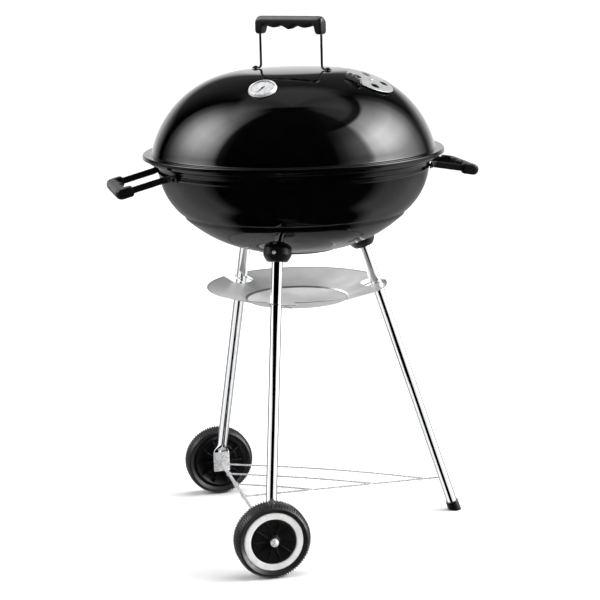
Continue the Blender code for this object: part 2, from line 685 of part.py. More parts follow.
def build_side_handle(name, mats):
    """Flat-bar frame, moulded grip and two rivets on one side of the bowl."""
    plane = side_plane(name)
    path = side_frame_path(name)
    frame = new_object("side_frame_" + name, strip(path, 0.0100, 0.0030, plane), mats["black_steel"])
    holes = [moved(rod(0.0029, -0.02, 0.03, 12), rivet_frame(name, side)) for side in (1, -1)]
    combine(frame, join(holes), "DIFFERENCE")
    finish(frame, mats["black_steel"])
    turn = Matrix(((0, 1, 0, SIDE_HANDLES[name][1]), (-1, 0, 0, 0), (0, 0, 1, 0), (0, 0, 0, 1)))
    grip = new_object("side_grip_" + name, moved(grip_bmesh(), plane @ turn), mats["black_plastic"])
    inside = [p for p in path if p[0] > 0.30]
    ends = [(0.30, SIDE_BAR_HALF_GAP)] + inside + [(0.30, -SIDE_BAR_HALF_GAP)]
    combine(grip, strip(ends, 0.0100 + 2 * GAP, 0.0030 + 2 * GAP, plane), "DIFFERENCE")
    finish(grip, mats["black_plastic"])
    for side, tag in ((1, "a"), (-1, "b")):
        at = rivet_frame(name, side)
        azimuth = atan2(at.translation.y, at.translation.x)
        wall = radius_at(bowl_outer(), azimuth, at.translation.z)
        lean = 0.0042 * sin(SIDE_HANDLES[name][0])
        inside = wall - at.translation.to_2d().length - SHEET - 0.0009 - lean
        head = [(0, 0.0036), (0.0030, 0.0032), (0.0052, 0.0016), (0.0056, GAP), (0.0025, GAP),
                (0.0025, inside), (0.0042, inside), (0.0040, inside - 0.0012),
                (0.0022, inside - 0.0020), (0, inside - 0.0023)]
        rivet = moved(turned(head, 12, closed=False), at)
        new_object(f"side_rivet_{name}_{tag}", rivet, mats["zinc"])


LID_FOOT_REACH = 0.0190      # how far a lid-handle foot runs outwards along the dome


def lid_plane():
    """Maps (along the handle, up, across) to the grill's frame."""
    u = Vector((cos(LID_HANDLE_AZ), sin(LID_HANDLE_AZ), 0))
    w = u.cross(Vector((0, 0, 1)))
    return Matrix(((u.x, 0, w.x, 0), (u.y, 0, w.y, 0), (0, 1, 0, 0), (0, 0, 0, 1)))


def lid_rivet_frame(side):
    r = LID_WIRE_HALF_GAP + 0.0125
    azimuth = LID_HANDLE_AZ + (0 if side > 0 else pi)
    out = Vector((cos(azimuth), sin(azimuth), 0))
    slope = (dome_z(r) - dome_z(r + 0.001)) / 0.001
    z = height_at(lid_outer(), out.x * r, out.y * r)
    return frame_matrix(out * r + Vector((0, 0, z)), out * slope + Vector((0, 0, 1)), out)


def build_lid_handle(mats):
    """Bent wire with flattened riveted feet, and the moulded grip around its top."""
    plane = lid_plane()
    half = LID_WIRE_HALF_GAP
    across = LID_GRIP_TOP_Z - GRIP_BODY / 2
    foot_z = dome_z(half + 0.010) + GAP + 0.0014
    sides = 8
    bend = 0.0060
    centres = [(half + LID_FOOT_REACH, foot_z - 0.0004, 0), (half + 0.0165, foot_z - 0.0003, 0),
               (half + 0.0080, foot_z, 0), (half + 0.0042, foot_z + 0.0006, 0),
               (half + 0.0008, foot_z + 0.0034, 1), (half, foot_z + 0.0085, 1),
               (half, across - bend, 1)]
    centres += [(u, v, 1) for u, v in arc((half - bend, across - bend), bend, radians(25), pi / 2, 3)]
    run = centres + [(-u, v, kind) for u, v, kind in reversed(centres)]
    rings = []
    for i, (u, v, kind) in enumerate(run):
        before = run[max(i - 1, 0)]
        after = run[min(i + 1, len(run) - 1)]
        along = Vector((after[0] - before[0], after[1] - before[1])).normalized()
        normal = Vector((-along.y, along.x))
        deep, wide = (LID_WIRE_R, LID_WIRE_R) if kind else (0.0013, 0.0050)
        if i in (0, len(run) - 1):
            wide = 0.0036
        rings.append([plane @ Vector((u + normal.x * deep * cos(a), v + normal.y * deep * cos(a),
                                      wide * sin(a)))
                      for a in (2 * pi * k / sides for k in range(sides))])
    frame = new_object("lid_handle_wire", loft(rings), mats["black_steel"])
    holes = [moved(rod(0.0026, -0.01, 0.02, 12), lid_rivet_frame(side)) for side in (1, -1)]
    combine(frame, join(holes), "DIFFERENCE")
    finish(frame, mats["black_steel"])
    grip_frame = plane @ Matrix.Translation((0, LID_GRIP_TOP_Z, 0))
    grip = new_object("lid_handle_grip", moved(grip_bmesh(), grip_frame), mats["black_plastic"])
    tunnel = [(u, v) for u, v, kind in run if kind and v > foot_z + 0.012]
    ends = [(half, LID_GRIP_TOP_Z - 0.045)] + tunnel + [(-half, LID_GRIP_TOP_Z - 0.045)]
    points = [plane @ Vector((u, v, 0)) for u, v in ends]
    combine(grip, tube(points, LID_WIRE_R + 0.0005, 10), "DIFFERENCE")
    finish(grip, mats["black_plastic"])
    top = 0.0031 + GAP
    head = [(0, top + 0.0030), (0.0026, top + 0.0026), (0.0044, top + 0.0012), (0.0046, top + GAP),
            (0.0022, top + GAP), (0.0022, -SHEET - GAP - 0.0004), (0.0044, -SHEET - GAP - 0.0004),
            (0.0042, -SHEET - 0.0018), (0, -SHEET - 0.0026)]
    for side, tag in ((1, "a"), (-1, "b")):
        rivet = moved(turned(head, 12, closed=False), lid_rivet_frame(side))
        new_object("lid_rivet_" + tag, rivet, mats["zinc"])


# ---------------------------------------------------------------- stand
def build_socket(name, mats):
    """A moulded cup under the bowl that takes a leg's top, with its side screw and bowl bolt."""
    frame = leg_frame(name)
    sides = 16
    angles = [2 * pi * k / sides for k in range(sides)]

    def ring(radius, height):
        return [frame @ Vector((radius * cos(a), radius * sin(a), height)) for a in angles]

    bottom = -SOCKET_BOTTOM_DROP
    bore = LEG_R + GAP
    web = -LEG_TOP_DROP
    rings = [ring(0.0262, 0.0250), ring(0.0262, -0.0085), ring(0.0240, -0.0135),
             ring(0.0212, -0.0180), ring(0.0186, bottom + 0.0012), ring(0.0160, bottom),
             ring(bore, bottom), ring(bore, web)]
    socket = new_object("leg_socket_" + name, loft(rings), mats["black_plastic"])
    screw = frame @ frame_matrix((0.0245, 0, -0.0044), (1, 0, 0.25), (0, 0, 1))
    tools = [moved(rod(0.0031, -0.03, 0.03, 12), frame), moved(rod(0.0021, -0.018, 0.002, 10), screw)]
    combine(socket, join(tools), "DIFFERENCE")
    combine(socket, moved(rod(0.0043, 0.0, 0.012, 14), screw), "DIFFERENCE")
    combine(socket, bowl_block(GAP), "DIFFERENCE")
    finish(socket, mats["black_plastic"])
    head = [(0, 0.0030), (0.0022, 0.0025), (0.0036, 0.0012), (0.0037, GAP), (0.0017, GAP),
            (0.0017, -0.0155), (0, -0.0165)]
    new_object("socket_screw_" + name, moved(turned(head, 12, closed=False), screw), mats["zinc"])
    inside = SHEET + 0.0021
    bolt = [(0, inside + 0.0042), (0.0034, inside + 0.0038), (0.0062, inside + 0.0020),
            (0.0066, inside), (0.0026, inside), (0.0026, -0.0170), (0, -0.0180)]
    new_object("socket_bolt_" + name, moved(turned(bolt, 14, closed=False), frame), mats["zinc"])
    return screw


def build_leg(name, screw, mats):
    """A round tube, open at the top; a wheel leg is pressed flat at its lower end for the axle."""
    frame = leg_frame(name)
    up = frame.col[2].to_3d()
    top = frame.translation - up * (LEG_TOP_DROP + GAP)
    sides = 16
    angles = [2 * pi * k / sides for k in range(sides)]
    front = name == "front"
    side = {"front": 0, "left": 1, "right": -1}[name]

    def ring(centre, direction, half_x, half_y):
        z = direction.normalized()
        x = (Vector((1, 0, 0)) - z * z.x).normalized()
        y = z.cross(x)
        return [centre + x * half_x * cos(a) + y * half_y * sin(a) for a in angles]

    def flat_ring(z, half_x, half_y):
        power = 0.35
        centre = Vector((AXLE_X, side * PLATE_Y, z))
        return [centre + Vector((half_x * abs(cos(a)) ** power * (1 if cos(a) > 0 else -1),
                                 half_y * abs(sin(a)) ** power * (1 if sin(a) > 0 else -1), 0))
                for a in angles]

    if front:
        end = leg_point(name, 0.0085)
        outer = [ring(top, up, LEG_R, LEG_R), ring(end, up, LEG_R, LEG_R)]
        inner = [ring(end + up * 0.0030, up, LEG_R - LEG_WALL, LEG_R - LEG_WALL),
                 ring(top, up, LEG_R - LEG_WALL, LEG_R - LEG_WALL)]
    else:
        bend_z = SHELF_Z + 0.0480
        bend = leg_point(name, bend_z)
        middle = leg_point(name, SHELF_Z + 0.0330)
        outer = [ring(top, up, LEG_R, LEG_R), ring(bend, up, LEG_R, LEG_R),
                 ring(middle, up, LEG_R * 1.15, LEG_R * 0.74),
                 flat_ring(SHELF_Z + 0.0170, PLATE_HALF_WIDTH, PLATE_HALF_THICK),
                 flat_ring(SHELF_Z - 0.0160, PLATE_HALF_WIDTH, PLATE_HALF_THICK)]
        inner = [ring(leg_point(name, bend_z + 0.003), up, LEG_R - LEG_WALL, LEG_R - LEG_WALL),
                 ring(top, up, LEG_R - LEG_WALL, LEG_R - LEG_WALL)]
    bm = loft_tube(outer, inner)
    leg = new_object("leg_" + name, bm, mats["chrome"])
    tools = [moved(rod(0.0021, -0.018, 0.0, 10), screw)]
    if front:
        hole = frame_matrix(leg_point(name, SHELF_Z), (-1, 0, 0), (0, 0, 1))
        tools.append(moved(rod(SHELF_WIRE_R + 0.0004, 0.0, 0.02, 12), hole))
    else:
        hole = frame_matrix((AXLE_X, side * PLATE_Y, SHELF_Z), (0, 1, 0), (0, 0, 1))
        tools.append(moved(rod(AXLE_R + 0.0004, -0.02, 0.02, 16), hole))
    combine(leg, join(tools), "DIFFERENCE")
    finish(leg, mats["chrome"])


def loft_tube(outer, inner):
    """A tube closed at its lower end: outer rings run down, inner rings run back up to the mouth."""
    bm = bmesh.new()
    rows = [[bm.verts.new(p) for p in ring] for ring in outer]
    back = [[bm.verts.new(p) for p in ring] for ring in inner]
    count = len(rows[0])
    for a, b in list(zip(rows, rows[1:])) + list(zip(back, back[1:])) + [(back[-1], rows[0])]:
        for i in range(count):
            j = (i + 1) % count
            bm.faces.new((a[i], a[j], b[j], b[i]))
    for row in (rows[-1], back[0]):
        middle = bm.verts.new(sum((v.co for v in row), Vector()) / count)
        for i in range(count):
            bm.faces.new((row[i], row[(i + 1) % count], middle))
    return bm


def build_foot_cap(mats):
    """The black cap on the front leg's end, cut level with the ground."""
    up = -leg_axis("front")[1].normalized()
    base = leg_point("front", 0.0)
    sides = 16
    angles = [2 * pi * k / sides for k in range(sides)]
    frame = frame_matrix(base, up, (1, 0, 0))

    def ring(radius, height):
        return [frame @ Vector((radius * cos(a), radius * sin(a), height)) for a in angles]

    def ground_ring(radius, lift):
        out = []
        for p in ring(radius, 0.004):
            out.append(p - up * ((p.z - lift) / up.z))
        return out

    bore = LEG_R + GAP
    hole_floor = leg_point("front", 0.0085) - up * GAP
    height = (hole_floor - base).length
    rings = [ground_ring(0.0118, 0.0), ground_ring(0.0128, 0.0011), ring(0.0125, FOOT_CAP_HEIGHT),
             ring(0.0119, FOOT_CAP_HEIGHT + 0.0008), ring(bore, FOOT_CAP_HEIGHT + 0.0008),
             ring(bore, height)]
    new_object("foot_cap", loft(rings), mats["black_plastic"])


def build_axle(mats):
    """The axle rod through both wheel legs, with a cap nut on each end."""
    to_y = frame_matrix((AXLE_X, 0, SHELF_Z), (0, 1, 0), (0, 0, 1))
    end = WHEEL_OUT_Y + 0.0050
    axle = new_object("axle_rod", moved(rod(AXLE_R, -end, end, 16), to_y), mats["zinc"])
    finish(axle, mats["zinc"])
    inner = WHEEL_OUT_Y + 0.0004
    bore = AXLE_R + GAP
    cap = [(0, inner + 0.0090), (0.0030, inner + 0.0086), (0.0056, inner + 0.0070),
           (0.0074, inner + 0.0040), (0.0078, inner + 0.0012), (0.0078, inner), (bore, inner),
           (bore, end + GAP), (0, end + GAP)]
    for side, name in ((1, "left"), (-1, "right")):
        face = frame_matrix((AXLE_X, 0, SHELF_Z), (0, side, 0), (0, 0, 1))
        nut = new_object("axle_nut_" + name, moved(turned(cap, 18, closed=False), face), mats["chrome"])
        set_pivot(nut, (AXLE_X, side * WHEEL_OUT_Y, SHELF_Z))


def build_wheel(side, name, mats):
    """Tyre, moulded hub with a running bore, and the white trim ring on the outer face."""
    face = frame_matrix((AXLE_X, 0, SHELF_Z), (0, side, 0), (0, 0, -1))
    y0, y1 = WHEEL_IN_Y, WHEEL_OUT_Y
    bead = RIM_R + GAP
    tyre = [(bead, y0 + 0.0050), (RIM_R + 0.0050, y0 + 0.0012), (WHEEL_R - 0.0040, y0),
            (WHEEL_R - 0.0012, y0 + 0.0012), (WHEEL_R, y0 + 0.0045), (WHEEL_R, y1 - 0.0045),
            (WHEEL_R - 0.0012, y1 - 0.0012), (WHEEL_R - 0.0040, y1), (RIM_R + 0.0050, y1 - 0.0010),
            (bead, y1 - 0.0030)]
    hub_bore = AXLE_R + 0.0005
    ring_in = WHITE_RING_IN_R - GAP
    hub = [(hub_bore, y0 - 0.0040), (0.0095, y0 - 0.0040), (0.0110, y0 + 0.0080), (0.0400, y0 + 0.0110),
           (0.0480, y0 + 0.0030), (RIM_R, y0 + 0.0040), (RIM_R, y1 - 0.0075), (ring_in, y1 - 0.0075),
           (ring_in, y1 - 0.0040), (0.0390, y1 - 0.0032), (0.0120, y1 - 0.0060), (0.0100, y1),
           (hub_bore, y1)]
    trim = [(WHITE_RING_IN_R, y1 - 0.0070), (RIM_R - GAP, y1 - 0.0070), (RIM_R - GAP, y1 - 0.0036),
            (RIM_R - 0.0030, y1 - 0.0026), (WHITE_RING_IN_R + 0.0030, y1 - 0.0026),
            (WHITE_RING_IN_R, y1 - 0.0036)]
    steps = 28
    for tag, section, mat in (("tyre", tyre, "tyre"), ("hub", hub, "black_plastic"),
                              ("ring", trim, "white_plastic")):
        piece = new_object(f"wheel_{tag}_{name}", moved(turned(section, steps, closed=True), face),
                           mats[mat])
        set_pivot(piece, (AXLE_X, side * y0, SHELF_Z))


# ---------------------------------------------------------------- shelf, tray and grates
SHELF_WIRE_R = 0.0018
SHELF_EYE_R = AXLE_R + 0.0004 + SHELF_WIRE_R


def build_wire_shelf(mats):
    """A centre wire from axle to front leg, three nested V wires, and eyes round the axle."""
    start = AXLE_X + SHELF_EYE_R
    centre_end = leg_point("front", SHELF_Z).x - LEG_R + 0.0045
    shelf = new_object("wire_shelf",
                       tube([(start, 0, SHELF_Z), (centre_end, 0, SHELF_Z)], SHELF_WIRE_R, 6))
    ends = []
    vees = []
    for tip, spread, bulge in ((0.2510, 0.2190, 0.016), (0.1440, 0.1500, 0.007), (0.0220, 0.0790, 0.002)):
        half = []
        steps = 5
        for i in range(1, steps + 1):
            t = i / steps
            out = bulge * sin(pi * t)
            half.append((tip + (start - tip) * t + out * 0.6, spread * t ** 0.94 + out * 0.5))
        half[-1] = (start, spread)
        left = [(x, y, SHELF_Z) for x, y in reversed(half)]
        right = [(x, -y, SHELF_Z) for x, y in half]
        vees.append(tube(left + [(tip, 0, SHELF_Z + 0.0004)] + right, SHELF_WIRE_R, 6))
        ends += [spread, -spread]
    combine(shelf, join(vees), "UNION")
    eyes = []
    for y in ends + [0.0]:
        eye = ring_wire(SHELF_EYE_R, SHELF_WIRE_R, 0.0, 8)
        eyes.append(moved(eye, frame_matrix((AXLE_X, y, SHELF_Z), (0, 1, 0), (0, 0, 1))))
    combine(shelf, join(eyes), "UNION")
    finish(shelf, mats["chrome"])


def build_tray(mats):
    """The ash tray: sloping flange with three leg notches, and a slightly deeper round pan."""
    upper = [(0, TRAY_PAN[1]), TRAY_PAN, TRAY_INNER, TRAY_RIM]
    under = offset(upper, -TRAY_SHEET)
    under[0] = (0, TRAY_PAN[1] - TRAY_SHEET)
    tray = new_object("ash_tray", turned(upper + list(reversed(under)), AROUND, closed=False))
    notches = []
    for name in LEGS:
        p = leg_point(name, TRAY_RIM[1])
        corner = 0.014
        shape = arc((NOTCH_IN_R + corner, NOTCH_HALF_WIDTH - corner), corner, pi / 2, pi, 4)
        shape += [(x, -y) for x, y in reversed(shape)]
        shape = [(0.19, NOTCH_HALF_WIDTH)] + shape + [(0.19, -NOTCH_HALF_WIDTH)]
        turn = Matrix.Rotation(atan2(p.y, p.x) + TRAY_TURN, 4, "Z")
        notches.append(moved(extruded(shape, 0.44, 0.50), turn))
    combine(tray, join(notches), "DIFFERENCE")
    finish(tray, mats["aluminium"])


def build_tray_clip(name, mats):
    """A spring wire round the outside of a leg whose two arms carry the tray's flange."""
    slope = (TRAY_RIM[1] - TRAY_INNER[1]) / (TRAY_RIM[0] - TRAY_INNER[0])
    wire = 0.0013
    p = leg_point(name, TRAY_RIM[1] - 0.0080)
    back_r = hypot(p.x, p.y) + 0.0002
    loop = LEG_R + 0.0004 + wire + 0.0006
    inner_r = 0.1150

    def lifted(r, y):
        z = TRAY_RIM[1] - (TRAY_RIM[0] - r) * slope - TRAY_SHEET - wire - 0.0009
        return (r, y, z)

    arm = [lifted(inner_r, loop + 0.0055), lifted(inner_r + 0.004, loop + 0.0008),
           lifted(inner_r + 0.012, loop)]
    bend = [lifted(back_r + loop * sin(a) * 1.05, loop * cos(a))
            for a in (pi * k / 8 for k in range(9))]
    points = arm + bend + [(x, -y, z) for x, y, z in reversed(arm)]
    turn = Matrix.Rotation(atan2(p.y, p.x), 4, "Z")
    new_object("tray_clip_" + name, moved(tube(points, wire, 6), turn), mats["zinc"])


def build_grate(name, ring_r, z, bars, bar_wire, cross_at, mats):
    """A round wire grate: one ring, parallel bars across it and two bars under them."""
    grate = new_object(name, ring_wire(ring_r, GRATE_RING_WIRE_R, z, AROUND))
    pitch = 2 * ring_r / (bars + 1)
    rods = []
    for i in range(bars):
        x = -ring_r + pitch * (i + 1)
        reach = sqrt(ring_r ** 2 - x * x) - 0.0008
        rods.append(tube([(x, -reach, z + 0.0003), (x, reach, z + 0.0003)], bar_wire, 6))
    combine(grate, join(rods), "UNION")
    low = z - 2 * bar_wire + 0.0011
    unders = []
    for y in cross_at:
        reach = sqrt(ring_r ** 2 - y * y) - 0.0050
        unders.append(tube([(-reach, y, low), (reach, y, low)], bar_wire, 6))
    combine(grate, join(unders), "UNION")
    finish(grate, mats["chrome"])


def build_grate_handle(sign, name, mats):
    """A bent wire loop that stands on the cooking grate's ring."""
    half, wire_r = 0.032, 0.0022
    foot_y = sign * sqrt(COOK_RING_R ** 2 - half ** 2)
    top_y = sign * (COOK_RING_R - 0.012)
    foot_z = COOK_RING_Z + GRATE_RING_WIRE_R + GAP
    top_z = COOK_RING_Z + 0.0160
    loop = new_object(name, tube([(-half, foot_y, foot_z), (-half, top_y, top_z - 0.004),
                                  (-half + 0.004, top_y, top_z), (half - 0.004, top_y, top_z),
                                  (half, top_y, top_z - 0.004), (half, foot_y, foot_z)], wire_r, 6))
    cutter = extruded([(-0.1, foot_y - 0.05), (0.1, foot_y - 0.05), (0.1, foot_y + 0.05),
                       (-0.1, foot_y + 0.05)], foot_z - 0.02, foot_z)
    combine(loop, cutter, "DIFFERENCE")
    finish(loop, mats["chrome"])


# ---------------------------------------------------------------- assembly
def build():
    clear_scene()
    mats = make_materials()
    build_bowl(mats)
    build_bottom_damper(mats)
    build_lid(mats)
    build_lid_vent(mats)
    build_thermometer(mats)
    build_lid_handle(mats)
    build_side_handle("front", mats)
    build_side_handle("back", mats)
    for name in LEGS:
        screw = build_socket(name, mats)
        build_leg(name, screw, mats)
        build_tray_clip(name, mats)
    build_foot_cap(mats)
    build_axle(mats)
    for side, name in ((1, "left"), (-1, "right")):
        build_wheel(side, name, mats)
    build_wire_shelf(mats)
    build_tray(mats)
    build_grate("cooking_grate", COOK_RING_R, COOK_RING_Z, 17, 0.0022, (-0.115, 0.115), mats)
    build_grate_handle(1, "grate_handle_left", mats)
    build_grate_handle(-1, "grate_handle_right", mats)
    build_grate("charcoal_grate", COAL_RING_R, COAL_RING_Z, 11, 0.0026, (-0.090, 0.090), mats)


build()
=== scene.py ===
"""Looks for the kettle charcoal grill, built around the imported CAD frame. Metres, +Z up."""

from math import acos, asin, atan2, cos, hypot, pi, radians, sin, sqrt

import bmesh
import bpy
from mathutils import Matrix, Vector


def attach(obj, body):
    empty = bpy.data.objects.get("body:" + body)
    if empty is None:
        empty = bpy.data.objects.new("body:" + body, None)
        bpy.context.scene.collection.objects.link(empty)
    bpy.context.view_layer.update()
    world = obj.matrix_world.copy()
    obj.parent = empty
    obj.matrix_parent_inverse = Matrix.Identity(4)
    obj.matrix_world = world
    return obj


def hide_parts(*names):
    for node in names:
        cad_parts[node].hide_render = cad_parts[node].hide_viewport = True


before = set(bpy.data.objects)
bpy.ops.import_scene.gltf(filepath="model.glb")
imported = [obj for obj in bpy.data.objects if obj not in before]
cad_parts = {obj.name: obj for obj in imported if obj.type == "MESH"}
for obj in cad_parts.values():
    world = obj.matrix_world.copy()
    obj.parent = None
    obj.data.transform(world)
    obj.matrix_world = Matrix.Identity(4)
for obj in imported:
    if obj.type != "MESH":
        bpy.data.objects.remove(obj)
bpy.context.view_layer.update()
GAP = 0.0003       # clearance between touching pieces
SHEET = 0.0015     # enamelled steel of the bowl and the lid


# ---------------- mesh helpers
def as_mesh(bm, name="temporary"):
    mesh = bpy.data.meshes.new(name)
    bm.to_mesh(mesh)
    bm.free()
    return mesh


def cleaned(bm, name="temporary"):
    """Weld a bmesh, turn its faces outward and store it as a mesh."""
    bmesh.ops.remove_doubles(bm, verts=bm.verts, dist=1e-6)
    bmesh.ops.recalc_face_normals(bm, faces=bm.faces)
    return as_mesh(bm, name)


def linked(data, name="temporary"):
    obj = bpy.data.objects.new(name, data)
    bpy.context.scene.collection.objects.link(obj)
    return obj


def evaluated(obj):
    graph = bpy.context.evaluated_depsgraph_get()
    return bpy.data.meshes.new_from_object(obj.evaluated_get(graph))


def piece(name, bm, material, body, replaces=(), sharp=38):
    """Make a mesh object from a bmesh, shade it, and let it ride on its body."""
    obj = linked(cleaned(bm, name), name)
    obj.data.materials.append(material)
    obj.data.shade_smooth()
    obj.data.set_sharp_from_angle(angle=radians(sharp))
    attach(obj, body)
    if replaces:
        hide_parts(*replaces)
    return obj


def shift(x, y, z=0.0):
    return Matrix.Translation((x, y, z))


def spin(angle):
    return Matrix.Rotation(angle, 4, "Z")


def frame_matrix(origin, axis, toward):
    """A frame with its Z along an axis and its X as near as can be to a direction."""
    z = Vector(axis).normalized()
    x = (Vector(toward) - z * z.dot(Vector(toward))).normalized()
    y = z.cross(x)
    return Matrix(((x.x, y.x, z.x, origin[0]), (x.y, y.y, z.y, origin[1]),
                   (x.z, y.z, z.z, origin[2]), (0, 0, 0, 1)))


def moved(bm, matrix):
    bmesh.ops.transform(bm, matrix=matrix, verts=bm.verts)
    return bm


def turned(profile, steps, closed=False):
    """Turn a (radius, height) profile about Z."""
    bm = bmesh.new()
    verts = [bm.verts.new((r, 0.0, z)) for r, z in profile]
    pairs = list(zip(verts, verts[1:]))
    if closed:
        pairs.append((verts[-1], verts[0]))
    edges = [bm.edges.new(pair) for pair in pairs]
    bmesh.ops.spin(bm, geom=verts + edges, cent=(0, 0, 0), axis=(0, 0, 1),
                   angle=2 * pi, steps=steps, use_merge=True)
    bmesh.ops.remove_doubles(bm, verts=bm.verts, dist=1e-7)
    return bm


def rounded(profile, radius, cuts=3, closed=False):
    """Round the corners of a run of points, in 2-D or 3-D."""
    pts = [Vector(p) for p in profile]
    count = len(pts)
    out = []
    for i, p in enumerate(pts):
        if not closed and i in (0, count - 1):
            out.append(tuple(p))
            continue
        a, b = pts[i - 1], pts[(i + 1) % count]
        reach = min(radius, 0.45 * (a - p).length, 0.45 * (b - p).length)
        d1, d2 = (a - p).normalized(), (b - p).normalized()
        if reach < 1e-6 or d1.angle(-d2, 0) < radians(4):
            out.append(tuple(p))
            continue
        start, end = p + d1 * reach, p + d2 * reach
        for k in range(cuts + 1):
            t = k / cuts
            out.append(tuple(start * (1 - t) ** 2 + p * 2 * t * (1 - t) + end * t * t))
    return out


def loft(rings, caps=True):
    """Skin equal rings of points and close both ends."""
    bm = bmesh.new()
    rows = [[bm.verts.new(p) for p in ring] for ring in rings]
    for a, b in zip(rows, rows[1:]):
        for i in range(len(a)):
            j = (i + 1) % len(a)
            bm.faces.new((a[i], a[j], b[j], b[i]))
    if caps:
        for row in (rows[0], rows[-1]):
            fan(bm, row)
    return bm


def fan(bm, row):
    """Close a ring of vertices with triangles to its middle."""
    middle = bm.verts.new(sum((v.co for v in row), Vector()) / len(row))
    for i in range(len(row)):
        bm.faces.new((row[i], row[(i + 1) % len(row)], middle))


def extruded(outline, low, high):
    bm = bmesh.new()
    face = bm.faces.new([bm.verts.new((x, y, low)) for x, y in outline])
    top = bmesh.ops.extrude_face_region(bm, geom=[face])["geom"]
    bmesh.ops.translate(bm, verts=[g for g in top if isinstance(g, bmesh.types.BMVert)],
                        vec=(0, 0, high - low))
    bmesh.ops.recalc_face_normals(bm, faces=bm.faces)
    return bm


def circle(count=64):
    return [2 * pi * k / count for k in range(count)]


def rod(radius, low, high, sides=40):
    return extruded([(radius * cos(a), radius * sin(a)) for a in circle(sides)], low, high)


def bevel_rim(bm, width, segments=3):
    """Round the two outline edges of an extruded shape."""
    rim = [e for e in bm.edges if abs(e.verts[0].co.z - e.verts[1].co.z) < 1e-6]
    bmesh.ops.bevel(bm, geom=rim, offset=width, segments=segments, affect="EDGES", profile=0.5)
    return bm


def join(parts):
    out = bmesh.new()
    for part in parts:
        mesh = as_mesh(part)
        out.from_mesh(mesh)
        bpy.data.meshes.remove(mesh)
    return out


def wire(points, radius):
    """A round wire along a run of points."""
    curve = bpy.data.curves.new("wire", "CURVE")
    curve.dimensions = "3D"
    curve.bevel_depth = radius
    curve.bevel_resolution = 5
    curve.use_fill_caps = True
    spline = curve.splines.new("POLY")
    spline.points.add(len(points) - 1)
    for target, point in zip(spline.points, points):
        target.co = (*point, 1.0)
    obj = linked(curve)
    mesh = evaluated(obj)
    bm = bmesh.new()
    bm.from_mesh(mesh)
    bmesh.ops.remove_doubles(bm, verts=bm.verts, dist=1e-6)
    bpy.data.objects.remove(obj)
    bpy.data.curves.remove(curve)
    bpy.data.meshes.remove(mesh)
    return bm


def ring_wire(ring_r, wire_r, z, around=160, sides=12):
    section = [(ring_r + wire_r * cos(a), z + wire_r * sin(a)) for a in circle(sides)]
    return turned(section, around, closed=True)


def cut(bm, tools, operation="DIFFERENCE"):
    """Exact boolean of a shape with a list of tool shapes."""
    body = linked(cleaned(bm))
    for tool in tools:
        other = linked(cleaned(tool))
        modifier = body.modifiers.new("cut", "BOOLEAN")
        modifier.operation = operation
        modifier.solver = "EXACT"
        modifier.object = other
        mesh = evaluated(body)
        body.modifiers.clear()
        body.data = mesh
        bpy.data.objects.remove(other)
    out = bmesh.new()
    out.from_mesh(body.data)
    bpy.data.objects.remove(body)
    return out


def arc(centre, radius, start, end, steps):
    return [(centre[0] + radius * cos(start + (end - start) * i / steps),
             centre[1] + radius * sin(start + (end - start) * i / steps)) for i in range(steps + 1)]


def offset(profile, distance):
    """Shift an open profile to its left, with mitred corners."""
    out = []
    for i, (x, y) in enumerate(profile):
        here = Vector((x, y))
        before = Vector(profile[max(i - 1, 0)])
        after = Vector(profile[min(i + 1, len(profile) - 1)])
        d1 = (here - before).normalized() if i else (after - here).normalized()
        d2 = (after - here).normalized() if i < len(profile) - 1 else d1
        n1 = Vector((-d1.y, d1.x))
        normal = (n1 + Vector((-d2.y, d2.x))).normalized()
        shifted = here + normal * distance / max(normal.dot(n1), 0.4)
        out.append((shifted.x, shifted.y))
    return out


# ---------------- materials
class Nodes:
    """Adds nodes to a node tree and links them."""

    def __init__(self, tree):
        self.tree = tree

    def node(self, kind, inputs=(), **settings):
        """Add a node; each input is linked if its value is a socket, and otherwise set."""
        node = self.tree.nodes.new(kind)
        for key, value in settings.items():
            setattr(node, key, value)
        for key, value in dict(inputs).items():
            if isinstance(value, bpy.types.NodeSocket):
                self.link(value, node.inputs[key])
            else:
                node.inputs[key].default_value = value
        return node

    def link(self, a, b):
        self.tree.links.new(a, b)

    def math(self, operation, *terms):
        return self.node("ShaderNodeMath", enumerate(terms), operation=operation).outputs["Value"]

    def ramp(self, value, stops):
        """A colour ramp through stops of (position, colour or grey level)."""
        ramp = self.node("ShaderNodeValToRGB", {"Fac": value})
        elements = ramp.color_ramp.elements
        while len(elements) < len(stops):
            elements.new(0.5)
        for element, (at, colour) in zip(elements, stops):
            element.position = at
            element.color = (*colour, 1) if isinstance(colour, tuple) else (colour,) * 3 + (1,)
        return ramp.outputs["Color"]


